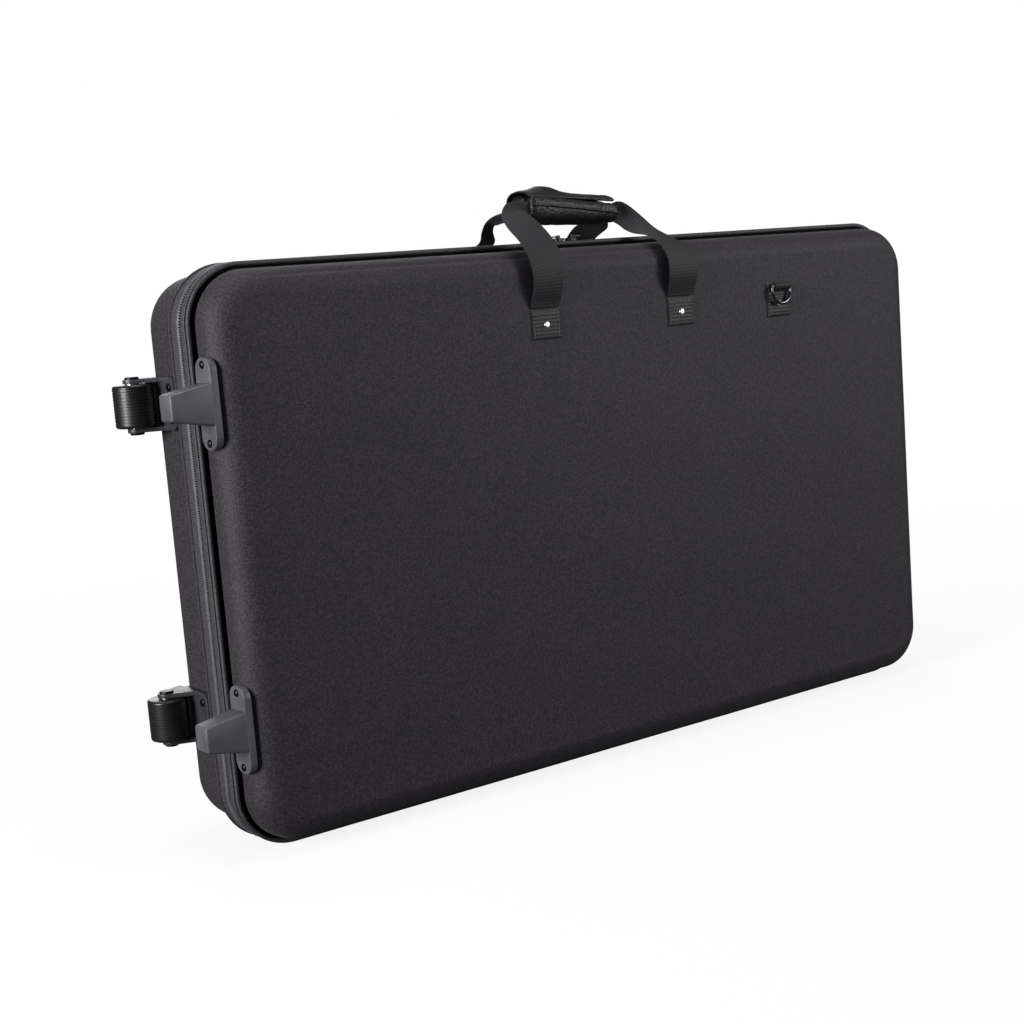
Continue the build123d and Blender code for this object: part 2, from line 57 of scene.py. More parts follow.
lens = bpy.data.cameras.new("camera")
lens.sensor_width = 36
lens.lens = FOCAL_PIXELS / FRAME_PIXELS * lens.sensor_width
lens.shift_x = (FRAME_PIXELS / 2 - AXIS_X) / FRAME_PIXELS
lens.shift_y = (AXIS_Y - FRAME_PIXELS / 2) / FRAME_PIXELS
camera = bpy.data.objects.new("camera", lens)
bpy.context.collection.objects.link(camera)
turn = Matrix.Rotation(YAW, 3, "Z") @ Matrix.Rotation(PITCH, 3, "X") @ Matrix.Rotation(ROLL, 3, "Y")
right, ahead, up = turn.col[0], turn.col[1], turn.col[2]
camera.matrix_world = Matrix(
    [(right[i], up[i], -ahead[i], EYE[i]) for i in range(3)] + [(0, 0, 0, 1)]
)
bpy.context.scene.camera = camera
bpy.context.scene.view_settings.view_transform = "Standard"


# Studio: a pale floor that runs into a white backdrop. Soft lamps stand level with the case
# on the left, on the right in front and behind, a weak one in front, and one above picks
# out the rounded edges.
def hex_colour(text):
    """An sRGB hex colour as linear RGBA."""
    parts = [int(text[i:i + 2], 16) / 255 for i in (1, 3, 5)]
    return [c / 12.92 if c <= 0.04045 else ((c + 0.055) / 1.055) ** 2.4 for c in parts] + [1.0]


def add_node(tree, kind, inputs=(), **settings):
    """One shader node with its settings, its values and its links."""
    node = tree.nodes.new("ShaderNode" + kind)
    for name, value in settings.items():
        setattr(node, name, value)
    for key, value in dict(inputs).items():
        if isinstance(value, bpy.types.NodeSocket):
            tree.links.new(value, node.inputs[key])
        else:
            node.inputs[key].default_value = value
    return node


def new_material(name):
    """An empty material and its node tree."""
    material = bpy.data.materials.new(name)
    material.use_nodes = True
    material.node_tree.nodes.clear()
    return material, material.node_tree


floor_paint, tree = new_material("white_studio_floor")
place = add_node(tree, "TexCoord").outputs["Object"]
reach = add_node(tree, "VectorMath", {0: place}, operation="LENGTH").outputs["Value"]
SHADE_REACH, SHADE_END, GLOW_BY_CASE = 0.7, 2.0, 0.86
far = add_node(tree, "MapRange", {"Value": reach, "From Min": SHADE_REACH, "From Max": SHADE_END,
                               "To Min": GLOW_BY_CASE, "To Max": 1.0},
               interpolation_type="SMOOTHSTEP").outputs["Result"]
seen = add_node(tree, "LightPath").outputs["Is Camera Ray"]
fade = add_node(tree, "Math", {0: far, 1: seen}, operation="MULTIPLY").outputs[0]
paint = add_node(tree, "MixRGB", {"Fac": seen, "Color1": hex_colour("#58585A"),
                                 "Color2": hex_colour("#FAFAFA")})
matte = add_node(tree, "BsdfDiffuse", {"Color": paint.outputs[0]})
glow = add_node(tree, "Emission", {"Color": (1, 1, 1, 1), "Strength": 1.0})
both = add_node(tree, "MixShader", {0: fade, 1: matte.outputs[0], 2: glow.outputs[0]})
add_node(tree, "OutputMaterial", {"Surface": both.outputs[0]})
FLOOR_SIZE = 30
bpy.ops.mesh.primitive_plane_add(size=FLOOR_SIZE)
floor = bpy.context.active_object
floor.name = "studio_floor"
floor.data.materials.append(floor_paint)

world = bpy.data.worlds.new("studio")
bpy.context.scene.world = world
world.use_nodes = True
world.node_tree.nodes.clear()
rays = add_node(world.node_tree, "LightPath").outputs
direct = add_node(world.node_tree, "Math", {0: rays["Is Camera Ray"], 1: rays["Is Transmission Ray"]},
                  operation="MAXIMUM").outputs[0]
ambient, white = (add_node(world.node_tree, "Background", {"Color": (1, 1, 1, 1), "Strength": level})
                  for level in (0.12, 1.0))
mixed = add_node(world.node_tree, "MixShader", {0: direct, 1: ambient.outputs[0], 2: white.outputs[0]})
add_node(world.node_tree, "OutputWorld", {"Surface": mixed.outputs[0]})

for name, spot, size, power in (
    ("left_lamp", (-3.0, -0.38, 0.9), 1.0, 105),
    ("front_right_lamp", (1.8, -2.0, 1.2), 0.9, 36),
    ("top_lamp", (-0.2, 0.0, 3.1), 1.5, 36),
    ("front_lamp", (1.0, -2.7, 0.5), 0.5, 4),
    ("back_lamp", (1.2, 3.0, 1.4), 2.0, 40),
):
    lamp = bpy.data.lights.new(name, "AREA")
    lamp.size, lamp.energy = size, power
    holder = bpy.data.objects.new(name, lamp)
    holder.location = spot
    aim = Vector((0, 0, 0.3)) - Vector(spot)
    holder.rotation_euler = aim.to_track_quat("-Z", "Y").to_euler()
    bpy.context.collection.objects.link(holder)


# Front and rear shells: moulded foam boards covered in knitted polyester, drafted for the
# mould and with large round edges. The rim is open, and the inside has a brushed lining.
CASE_HALF_LENGTH, CASE_HALF_HEIGHT, CORNER_RADIUS = 487 * MM, 280 * MM, 53 * MM
MIDDLE = Vector((0, 0, 288 * MM))
LONG_STEPS, TALL_STEPS, HALF_CORNER_STEPS = 40, 22, 7
SHELL_WALL, DRAFT = 6 * MM, math.radians(1.7)
FRONT_RIM, FRONT_DEPTH, FRONT_ROUND = 23 * MM, 58 * MM, 26 * MM
REAR_RIM, REAR_DEPTH, REAR_ROUND = 17.5 * MM, 100 * MM, 31 * MM


def outline_stations(long_steps, tall_steps, half_corner_steps):
    """Stations round the case, from the middle of the lower left corner and along the bottom:
    each is a point of the outline, its outward direction and the distance run to it."""
    flat_x, flat_z = CASE_HALF_LENGTH - CORNER_RADIUS, CASE_HALF_HEIGHT - CORNER_RADIUS
    corners = [(-flat_x, -flat_z), (flat_x, -flat_z), (flat_x, flat_z), (-flat_x, flat_z)]

    def corner_station(centre, square, turned_by, run):
        out = Vector((math.cos(square + turned_by), math.sin(square + turned_by)))
        return centre + CORNER_RADIUS * out, out, run + CORNER_RADIUS * turned_by

    stations = []
    run = 0.0
    for side in range(4):
        steps = long_steps if side % 2 == 0 else tall_steps
        start, end = Vector(corners[side]), Vector(corners[(side + 1) % 4])
        square = math.radians(270 + 90 * side)
        for i in range(half_corner_steps):
            stations.append(corner_station(start, square, -math.pi / 4 * (1 - i / half_corner_steps), run))
        out = Vector((math.cos(square), math.sin(square)))
        for i in range(steps + 1):
            point = start.lerp(end, i / steps) + CORNER_RADIUS * out
            stations.append((point, out, run + (end - start).length * i / steps))
        run += (end - start).length
        for i in range(1, half_corner_steps):
            stations.append(corner_station(end, square, math.pi / 4 * i / half_corner_steps, run))
        run += CORNER_RADIUS * math.pi / 2
    return stations


def station_point(station, across, grow):
    """The point at a station, grown outward, at this place from front to back."""
    point, out = station[0], station[1]
    return Vector((point[0] + grow * out[0], across, MIDDLE.z + point[1] + grow * out[1]))


def tray_profile(rim, depth, wall, radius, steps):
    """A tray's wall from the rim to where the face is flat: (distance from the zip, growth)."""
    slope = math.tan(DRAFT)
    centre = depth - radius
    centre_grow = -wall - (centre - rim) * slope - radius / math.cos(DRAFT)
    profile = [(rim, -wall)]
    for share in (0.08, 0.5, 0.9):
        reach = share * (centre + radius * math.sin(DRAFT) - rim)
        profile.append((rim + reach, -wall - reach * slope))
    for i in range(steps + 1):
        angle = DRAFT + (math.pi / 2 - DRAFT) * i / steps
        profile.append((centre + radius * math.sin(angle), centre_grow + radius * math.cos(angle)))
    return profile


def cloth_mesh():
    """An empty mesh with a layer for the cloth's own coordinates."""
    bm = bmesh.new()
    return bm, bm.loops.layers.uv.new("cloth")


def new_piece(name, bm, materials, smooth_angle=40):
    """A piece from a bmesh, with its materials and its smooth faces set by angle."""
    bmesh.ops.recalc_face_normals(bm, faces=bm.faces[:])
    mesh = bpy.data.meshes.new(name)
    bm.to_mesh(mesh)
    bm.free()
    piece = bpy.data.objects.new(name, mesh)
    bpy.context.collection.objects.link(piece)
    for material in materials:
        mesh.materials.append(material)
    bpy.ops.object.select_all(action="DESELECT")
    bpy.context.view_layer.objects.active = piece
    piece.select_set(True)
    bpy.ops.object.shade_smooth_by_angle(angle=math.radians(smooth_angle))
    piece.select_set(False)
    return piece


def strip_faces(bm, uv, row_a, row_b, marks_a, marks_b, closed, material=0):
    """Quads between two rows of vertices, with the cloth's own coordinates in metres."""
    count = len(row_a)
    for i in range(count if closed else count - 1):
        j = (i + 1) % count
        if len({row_a[i], row_a[j], row_b[j], row_b[i]}) < 4:
            continue
        face = bm.faces.new((row_a[i], row_a[j], row_b[j], row_b[i]))
        face.material_index = material
        wrap = marks_a[-1][0] + (marks_a[1][0] - marks_a[0][0]) if closed and j == 0 else None
        for loop, mark in zip(face.loops, (marks_a[i], marks_a[j], marks_b[j], marks_b[i])):
            loop[uv].uv = mark
        if wrap is not None:
            face.loops[1][uv].uv = (wrap, marks_a[j][1])
            face.loops[2][uv].uv = (wrap, marks_b[j][1])


def swept_faces(bm, uv, rows, marks, closed, second=()):
    """Quads from each row to the next. The spans listed in second take the second material."""
    for k in range(len(rows) - 1):
        strip_faces(bm, uv, rows[k], rows[k + 1], marks[k], marks[k + 1], closed, int(k in second))


def face_grid(bm, uv, ring, columns, rows, shape, material=0):
    """Fills a closed ring of vertices with a grid, its rows and columns led by the ring's sides."""
    bottom = ring[0:columns + 1]
    right_side = ring[columns:columns + rows + 1]
    top = list(reversed(ring[columns + rows:2 * columns + rows + 1]))
    left = list(reversed(ring[2 * columns + rows:] + ring[:1]))
    grid = [[None] * (columns + 1) for _ in range(rows + 1)]
    for i in range(columns + 1):
        grid[0][i], grid[rows][i] = bottom[i], top[i]
    for j in range(rows + 1):
        grid[j][0], grid[j][columns] = left[j], right_side[j]
    for j in range(1, rows):
        t = j / rows
        for i in range(1, columns):
            s = i / columns
            point = (
                (1 - t) * bottom[i].co + t * top[i].co + (1 - s) * left[j].co + s * right_side[j].co
                - (1 - s) * (1 - t) * bottom[0].co - s * (1 - t) * bottom[-1].co
                - (1 - s) * t * top[0].co - s * t * top[-1].co
            )
            grid[j][i] = bm.verts.new(shape(point))
    for j in range(rows):
        for i in range(columns):
            face = bm.faces.new((grid[j][i], grid[j][i + 1], grid[j + 1][i + 1], grid[j + 1][i]))
            face.material_index = material
            for loop in face.loops:
                loop[uv].uv = (loop.vert.co.x, loop.vert.co.z)


def noise_texture(tree, scale, detail=2.0, roughness=0.5):
    """Noise through the piece, scale specks to the metre."""
    place = add_node(tree, "TexCoord").outputs["Object"]
    return add_node(tree, "TexNoise", {"Vector": place, "Scale": scale, "Detail": detail,
                                       "Roughness": roughness}).outputs[0]


def yarn_wave(tree, pitch, direction, distortion, detail=2.0, detail_scale=1.0):
    """Waves along the cloth's own coordinates, one to each pitch of the yarn."""
    place = add_node(tree, "TexCoord").outputs["UV"]
    return add_node(tree, "TexWave", {"Vector": place, "Scale": math.pi / 20 / pitch,
                                      "Distortion": distortion, "Detail": detail,
                                      "Detail Scale": detail_scale},
                    bands_direction=direction).outputs["Fac"]


def ramp(tree, value, dark, light, low=0.0, high=1.0):
    """A colour between two, from the value's low to its high."""
    tone = add_node(tree, "ValToRGB", {"Fac": value})
    for stop, place, colour in zip(tone.color_ramp.elements, (low, high), (dark, light)):
        stop.position, stop.color = place, hex_colour(colour)
    return tone.outputs[0]


def finish_coat(tree, inputs, bump_height, bump_distance):
    """Ends a material: its shader with these inputs, a bump and the output."""
    coat = add_node(tree, "BsdfPrincipled", inputs)
    relief = add_node(tree, "Bump", {"Height": bump_height, "Distance": bump_distance, "Strength": 1.0})
    tree.links.new(relief.outputs[0], coat.inputs["Normal"])
    add_node(tree, "OutputMaterial", {"Surface": coat.outputs[0]})


# Knitted polyester, dyed in the yarn: two near-black yarns give the fine speckle. Stitches
# are about 1.3 mm apart, drawn a little coarser so that they show at this distance.
KNIT_STITCH = 1.5 * MM
knit_cloth, tree = new_material("knitted_polyester_black_melange")
speck = noise_texture(tree, 1 / (2.1 * MM), 3.0, 0.8)
cloud = noise_texture(tree, 14.0)
worn = add_node(tree, "MapRange", {"Value": cloud, "From Min": 0.3, "From Max": 0.7,
                                  "To Min": 0.92, "To Max": 1.1}).outputs[0]
melange = ramp(tree, speck, "#0F0C12", "#373039", 0.4, 0.64)
yarn = add_node(tree, "VectorMath", {0: melange, "Scale": worn}, operation="SCALE").outputs[0]
across, along = (yarn_wave(tree, KNIT_STITCH, way, 1.2, 1.0, 6.0) for way in "XY")
stitch = add_node(tree, "Math", {0: across, 1: along}, operation="MULTIPLY").outputs[0]
height = add_node(tree, "Math", {0: stitch, 1: 0.22, 2: speck}, operation="MULTIPLY_ADD").outputs[0]
finish_coat(tree, {"Base Color": yarn, "Roughness": 0.66, "IOR": 1.45, "Sheen Weight": 0.04,
                   "Sheen Roughness": 0.5}, height, 0.35 * MM)

# Brushed tricot inside: short nap, a shade darker and quite matt.
lining_cloth, tree = new_material("brushed_tricot_lining")
tone = ramp(tree, noise_texture(tree, 22.0, 3.0), "#131215", "#1F1E22")
finish_coat(tree, {"Base Color": tone, "Roughness": 0.95, "Sheen Weight": 0.3, "Sheen Roughness": 0.4},
            noise_texture(tree, 900.0), 0.3 * MM)

shell_stations = outline_stations(LONG_STEPS, TALL_STEPS, HALF_CORNER_STEPS)


def moulded_shell(name, side, rim, depth, radius, rim_profile, shape):
    """One shell: outer wall and face, rim, inner wall and face, closed all round."""
    bm, uv = cloth_mesh()
    inner = tray_profile(rim, depth - SHELL_WALL, SHELL_WALL, radius - SHELL_WALL, 6)
    outer = tray_profile(rim, depth, 0.0, radius, 20)
    profile = list(reversed(inner)) + rim_profile + outer
    inner_count = len(inner)
    rows, marks, length = [], [], 0.0
    for k, (distance, grow) in enumerate(profile):
        if k:
            length += math.hypot(distance - profile[k - 1][0], grow - profile[k - 1][1])
        rows.append([bm.verts.new(shape(station_point(s, side * distance, grow), k >= inner_count))
                     for s in shell_stations])
        marks.append([(s[2], length) for s in shell_stations])
    swept_faces(bm, uv, rows, marks, True, range(inner_count - 1))
    columns = LONG_STEPS + 2 * HALF_CORNER_STEPS
    tall = TALL_STEPS + 2 * HALF_CORNER_STEPS
    face_grid(bm, uv, rows[-1], columns, tall, lambda p: shape(p, True), 0)
    face_grid(bm, uv, rows[0], columns, tall, lambda p: shape(p, False), 1)
    return new_piece(name, bm, [knit_cloth, lining_cloth], 50)


TOP_EDGE, EDGE_REACH, FACE_REACH, CREASE_STOP = 568 * MM, 30 * MM, 34 * MM, 430 * MM
CREASE_DROP, CREASE_WIDTH, CREASE_LEFT, CREASE_RIGHT = 7.5 * MM, 1.8 * MM, -440 * MM, 330 * MM


def front_shape(point, outside):
    """The lid's cloth: slightly uneven, with the pressed crease that runs just under its top edge."""
    if not outside:
        return point
    wave = noise.noise(Vector((point.x * 7, point.z * 7, 3.1)))
    point = point + Vector((0, -0.25 * MM * wave, 0))
    drop = TOP_EDGE - point.z
    if drop < EDGE_REACH and -point.y > FACE_REACH and point.x < CREASE_STOP:
        crease = 1.6 * math.exp(-((drop - CREASE_DROP) / CREASE_WIDTH) ** 2)
        fade_in = min(1.0, max(0.0, (point.x - CREASE_LEFT) / (40 * MM)))
        fade_out = min(1.0, max(0.0, (CREASE_RIGHT - point.x) / (300 * MM)))
        point = point + Vector((0, 0.7 * MM, -0.7 * MM)) * crease * fade_in * fade_out
    return point


def rear_shape(point, outside):
    """The base's cloth: slightly uneven away from its rim."""
    if not outside or point.y < 40 * MM:
        return point
    wave = noise.noise(Vector((point.x * 6, point.z * 6, 9.7)))
    return point + Vector((0, 0.3 * MM * wave, 0))


front_shell = moulded_shell("front_shell_cover", -1, FRONT_RIM, FRONT_DEPTH, FRONT_ROUND, [], front_shape)
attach(front_shell, "lid")
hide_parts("front_shell")

FLANGE_FRONT, FLANGE_PROUD = 15.1 * MM, 4.4 * MM
rear_flange = [
    (FLANGE_FRONT, -SHELL_WALL), (FLANGE_FRONT, FLANGE_PROUD),
    (REAR_RIM - 0.4 * MM, FLANGE_PROUD), (REAR_RIM, FLANGE_PROUD - 0.6 * MM),
]
rear_shell = moulded_shell("rear_shell_cover", 1, REAR_RIM, REAR_DEPTH, REAR_ROUND, rear_flange, rear_shape)
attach(rear_shell, "base")
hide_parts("rear_shell")


# The fabric band between the shells. In front, a piped seam joins the lid to a flat strip
# of gusset cloth; behind it come the zip's two tapes and the folded binding at the base.
HINGE_HALF_LENGTH = 374 * MM
BAND_LONG_STEPS, BAND_TALL_STEPS, BAND_HALF_CORNER_STEPS = 76, 44, 12
band_stations = outline_stations(BAND_LONG_STEPS, BAND_TALL_STEPS, BAND_HALF_CORNER_STEPS)

# Plain-woven polyester tape, 0.9 mm ribs drawn at 1.2 mm so that they show
woven_tape, tree = new_material("woven_polyester_band")
rib, weft = (yarn_wave(tree, 1.2 * MM, way, 0.4, 1.0) for way in "XY")
weave = add_node(tree, "Math", {0: rib, 1: weft}, operation="MAXIMUM").outputs[0]
tone = ramp(tree, noise_texture(tree, 420.0, 3.0), "#242227", "#3F3C43", 0.3, 0.7)
finish_coat(tree, {"Base Color": tone, "Roughness": 0.6, "Sheen Weight": 0.05, "Sheen Roughness": 0.45},
            weave, 0.25 * MM)

# Nylon zip coil: a smooth filament that glints a little
coil_nylon, tree = new_material("moulded_nylon_zip_coil")
dust = noise_texture(tree, 160.0)
finish_coat(tree, {"Base Color": ramp(tree, dust, "#3C3B41", "#716F78"), "Roughness": 0.42}, dust, 0.05 * MM)

# Painted shade: near-black, matt cloth put in the channels of the band, where shade falls deep
channel_painted_shade, tree = new_material("painted_shade_channel_cloth")
lint = noise_texture(tree, 300.0)
finish_coat(tree, {"Base Color": ramp(tree, lint, "#050506", "#0D0C0E"), "Roughness": 0.9,
                   "Specular IOR Level": 0.2}, lint, 0.1 * MM)


def band_wave(run, seed, size):
    """How far cloth sewn by hand strays at this place round the case."""
    return size * noise.noise(Vector((run * 9.0, seed, 0.5)))


def sewn_hoop(name, stations, closed, profile, materials, seed, stray, painted_shade_spans=()):
    """A profile of (front to back, growth) points swept round the case, or along part of it.
    The profile's spans given by number take the second material, a near-black cloth that paints the shade in
    the band's channels."""
    bm, uv = cloth_mesh()
    rows, marks, length = [], [], 0.0
    for k, (across_at, grow) in enumerate(profile + profile[:1]):
        before = profile[k - 1] if k else profile[0]
        length += math.hypot(across_at - before[0], grow - before[1])
        marks.append([(s[2], length) for s in stations])
        if k == len(profile):
            rows.append(rows[0])
            break
        rows.append([
            bm.verts.new(station_point(s, across_at + band_wave(s[2], seed, stray),
                                       grow + band_wave(s[2], seed + 7, 0.4 * stray)))
            for s in stations
        ])
    swept_faces(bm, uv, rows, marks, closed, painted_shade_spans)
    if not closed:
        for end in (0, -1):
            bm.faces.new([row[end] for row in rows[:-1]])
    return new_piece(name, bm, materials, 45)


# Gusset: the flat strip with a turned edge, its web down behind the piping and its lining. The turned edge,
# the web, part of the lining and the strip's underside take painted shade in near-black cloth.
gusset_profile = [
    (-6 * MM, 5.6 * MM), (-6 * MM, 6.6 * MM), (-6.5 * MM, 7.2 * MM), (-7.6 * MM, 7.3 * MM),
    (-8.1 * MM, 6.9 * MM), (-8.6 * MM, 7.3 * MM), (-13.2 * MM, 7.2 * MM), (-13.9 * MM, 6.6 * MM),
    (-14.1 * MM, 4.6 * MM), (-16 * MM, 4.6 * MM), (-16 * MM, -6.6 * MM), (-31 * MM, -6.6 * MM),
    (-31 * MM, -9 * MM), (-13.6 * MM, -9 * MM), (-13.6 * MM, 5.6 * MM),
]
gusset = sewn_hoop("front_gusset_band", band_stations, True, gusset_profile, [woven_tape, channel_painted_shade],
                   1.0, 0.0, painted_shade_spans=(7, 8, 9, 10, 13, 14))
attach(gusset, "lid")
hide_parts("front_gusset")

# Piping: a cord in a folded strip, a round bead between gusset and shell
PIPING_Y, PIPING_PROUD, PIPING_RADIUS, PIPING_SIDES = -18.5 * MM, 5.2 * MM, 2.4 * MM, 12
piping_profile = [
    (PIPING_Y + PIPING_RADIUS * math.cos(2 * math.pi * i / PIPING_SIDES),
     PIPING_PROUD + PIPING_RADIUS * math.sin(2 * math.pi * i / PIPING_SIDES))
    for i in range(PIPING_SIDES)
]
piping = sewn_hoop("front_piping_cord_edge", band_stations, True, piping_profile, [woven_tape],
                   2.0, 0.25 * MM)
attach(piping, "lid")
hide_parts("front_piping")

# Binding: the tape's edge folded over against the rear shell
binding_profile = [
    (15.15 * MM, 4.5 * MM), (15.15 * MM, 6.6 * MM), (15.7 * MM, 7.7 * MM), (16.9 * MM, 8.0 * MM),
    (18.1 * MM, 7.6 * MM), (18.65 * MM, 6.4 * MM), (18.6 * MM, 4.5 * MM),
]
binding = sewn_hoop("rear_binding_fold", band_stations, True, binding_profile, [woven_tape], 3.0, 0.2 * MM)
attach(binding, "base")
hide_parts("rear_binding")


def zip_stations():
    """The stations from the right end of the hinge strip round the top to its left end, with a
    run that starts there."""
    after = [s for s in band_stations
             if s[0].y > -CASE_HALF_HEIGHT + 1e-6 or abs(s[0].x) >= HINGE_HALF_LENGTH]
    first = next(i for i, s in enumerate(after) if s[0].x > 0)
    right_end, left_end = [
        (Vector((way * (HINGE_HALF_LENGTH + 0.2 * MM), -CASE_HALF_HEIGHT)), Vector((0, -1)), 0.0)
        for way in (1, -1)
    ]
    total, found, previous = 0.0, [], right_end[0]
    for point, out, _ in [right_end] + after[first:] + after[:first] + [left_end]:
        total += (point - previous).length
        previous = point
        found.append((point, out, total))
    return found


def tube(bm, rings, material=0):
    """Faces round a row of rings, closed at both ends."""
    around = len(rings[0])
    for ring, further in zip(rings, rings[1:]):
        for i in range(around):
            j = (i + 1) % around
            bm.faces.new((ring[i], ring[j], further[j], further[i])).material_index = material
    for ring in (rings[0], rings[-1]):
        bm.faces.new(ring).material_index = material


zip_run = zip_stations()
ZIP_PITCH = 2.4 * MM
TOOTH_LENGTH = 1.3 * MM
TOOTH_SECTION = ((-0.6, 5.7), (-0.6, 6.9), (0.3, 7.6), (2.0, 7.3), (2.7, 5.8))
# The tapes' spans given by number take near-black cloth, painted shade: most of the front tape's top and the
# rear tape's strip next to the coil.
for side, word, body, far_edge, sunk, painted_shade_spans, phase in (
    (-1, "front", "lid", 9.5 * MM, 4.7 * MM, (1, 2, 3, 4, 5), 0.25),
    (1, "rear", "base", 15.05 * MM, 6.0 * MM, (1,), 0.75),
):
    tape_profile = [
        (side * 1.2 * MM, 4.3 * MM), (side * 1.2 * MM, 5.4 * MM), (side * 3.0 * MM, 5.5 * MM),
        (side * 3.6 * MM, sunk), (side * 5.0 * MM, sunk), (side * 6.0 * MM, sunk + 0.1 * MM),
        (side * far_edge, sunk + 0.1 * MM), (side * far_edge, 4.3 * MM),
    ]
    tape = sewn_hoop(word + "_zip_tape_cloth", zip_run, False, tape_profile, [woven_tape, channel_painted_shade],
                     4.0 + side, 0.0, painted_shade_spans=painted_shade_spans)
    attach(tape, body)
    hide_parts(word + "_zip_tape")

    bm, uv = cloth_mesh()
    index = 0
    for n in range(int(zip_run[-1][2] / ZIP_PITCH) - 1):
        middle = (n + phase) * ZIP_PITCH
        while index < len(zip_run) - 2 and zip_run[index + 1][2] < middle:
            index += 1
        a, b = zip_run[index], zip_run[index + 1]
        share = (middle - a[2]) / (b[2] - a[2])
        centre = a[0].lerp(b[0], share)
        out = a[1].lerp(b[1], share).normalized()
        along_run = (b[0] - a[0]).normalized()
        rings = []
        for end in (-0.5, 0.5):
            slip = along_run * TOOTH_LENGTH * end
            rings.append([
                bm.verts.new((centre.x + slip.x + out.x * g * MM, side * y * MM,
                              MIDDLE.z + centre.y + slip.y + out.y * g * MM))
                for y, g in TOOTH_SECTION
            ])
        tube(bm, rings)
    teeth = new_piece(word + "_zip_coil_turns", bm, [coil_nylon], 60)
    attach(teeth, body)
    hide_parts(word + "_zip_coil")

# Fabric hinge: one doubled strip of gusset cloth, lying flat along the bottom
HINGE_FRONT, HINGE_BACK, HINGE_SHEET = -5.1 * MM, 15.1 * MM, 1.6 * MM
HINGE_COLUMNS, HINGE_FOLDS = 90, 16
bm, uv = cloth_mesh()
rows, marks = [], []
hinge_profile = [(HINGE_FRONT + (HINGE_BACK - HINGE_FRONT) * i / HINGE_FOLDS, 0.0)
                 for i in range(HINGE_FOLDS + 1)]
hinge_profile += [(y, HINGE_SHEET) for y, z in reversed(hinge_profile)]
for y, z in hinge_profile:
    rows.append([bm.verts.new((-HINGE_HALF_LENGTH + 2 * HINGE_HALF_LENGTH * i / HINGE_COLUMNS, y, z))
                 for i in range(HINGE_COLUMNS + 1)])
    marks.append([(v.co.x, y + 3 * z) for v in rows[-1]])
swept_faces(bm, uv, rows + rows[:1], marks + marks[:1], False)
for end in (0, -1):
    bm.faces.new([row[end] for row in rows])
hinge = new_piece("fabric_hinge_strip", bm, [woven_tape], 40)
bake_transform(hinge)
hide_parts("lid_hinge_strip", "base_hinge_strip")


# Patches: coated woven squares with a turned and stitched border, which hold the webbing
# and the ring to the shells. The thread is a shade lighter than the cloth.
coated_weave, tree = new_material("coated_ballistic_weave")
warp, weft = (yarn_wave(tree, 2.0 * MM, way, 2.0) for way in "XY")
weave = add_node(tree, "Math", {0: warp, 1: weft}, operation="MULTIPLY").outputs[0]
finish_coat(tree, {"Base Color": ramp(tree, weave, "#0A090C", "#262329"), "Roughness": 0.55}, weave, 0.4 * MM)

# Bonded nylon thread, smooth and slightly shiny
nylon_thread, tree = new_material("bonded_nylon_thread")
twist = noise_texture(tree, 900.0)
finish_coat(tree, {"Base Color": ramp(tree, twist, "#3A373D", "#6A666E"), "Roughness": 0.5}, twist, 0.1 * MM)


STITCH_PITCH, THREAD_GAUGE = 3.4 * MM, 0.42 * MM


def stitch_run(bm, start, end, out):
    """A row of stitches: each a short thread that sinks into the cloth at its ends."""
    way = end - start
    count = max(2, round(way.length / STITCH_PITCH))
    beside = way.normalized().cross(out).normalized()
    for n in range(count):
        rings = []
        for share, rise, width in (
            (0.08, -0.2, 0.6), (0.28, 0.75, 1.0), (0.72, 0.75, 1.0), (0.92, -0.2, 0.6)
        ):
            centre = start + way * ((n + share) / count) + out * THREAD_GAUGE * rise
            rings.append([
                bm.verts.new(centre + THREAD_GAUGE * width * (math.cos(a) * beside + math.sin(a) * out))
                for a in (0, math.pi / 2, math.pi, 3 * math.pi / 2)
            ])
        tube(bm, rings, 1)


def border_of(grid):
    """The vertices round a grid, from its first along the first row."""
    return (grid[0] + [row[-1] for row in grid[1:]] + grid[-1][-2::-1]
            + [row[0] for row in grid[-2:0:-1]])


PATCH_WIDTH, PATCH_HEIGHT, PATCH_SHEET, THREAD_INSET = 39 * MM, 31 * MM, 1.6 * MM, 3 * MM
PATCH_MIDDLE, HANDLE_X = 489 * MM, 97 * MM
UP = Vector((0, 0, 1))


def patch_body(bm, uv, centre, side, height):
    """A cloth patch with soft edges, its sides drawn in a little, stitched round its border."""
    level, out = Vector((1, 0, 0)), Vector((0, side, 0))
    steps, soft_border = 14, 0.12
    grid = []
    for j in range(steps + 1):
        row = []
        for i in range(steps + 1):
            s, t = 2 * i / steps - 1, 2 * j / steps - 1
            edge = min(1 - abs(s), 1 - abs(t))
            rise = PATCH_SHEET * (1.0 if edge > soft_border else 0.55 + 0.45 * edge / soft_border)
            pull = 1 - 0.012 * (1 - abs(t)) if abs(s) > 0.99 else 1
            point = centre + level * (s * pull * PATCH_WIDTH / 2) + UP * (t * height / 2) + out * rise
            row.append(bm.verts.new(point))
        grid.append(row)
    border = border_of(grid)
    base = {v: bm.verts.new(v.co - out * (v.co - centre).dot(out)) for v in border}
    for j in range(steps):
        for i in range(steps):
            face = bm.faces.new((grid[j][i], grid[j][i + 1], grid[j + 1][i + 1], grid[j + 1][i]))
            for loop in face.loops:
                spot = loop.vert.co - centre
                loop[uv].uv = (spot.x, spot.z)
    for i, v in enumerate(border):
        w = border[(i + 1) % len(border)]
        bm.faces.new((v, w, base[w], base[v]))
    bm.faces.new([base[v] for v in border])
    x, z = PATCH_WIDTH / 2 - THREAD_INSET, height / 2 - THREAD_INSET
    corner = [centre + level * a * x + UP * b * z + out * (PATCH_SHEET + 0.05 * MM)
              for a, b in ((-1, -1), (1, -1), (1, 1), (-1, 1))]
    for a in range(4):
        stitch_run(bm, corner[a], corner[(a + 1) % 4], out)


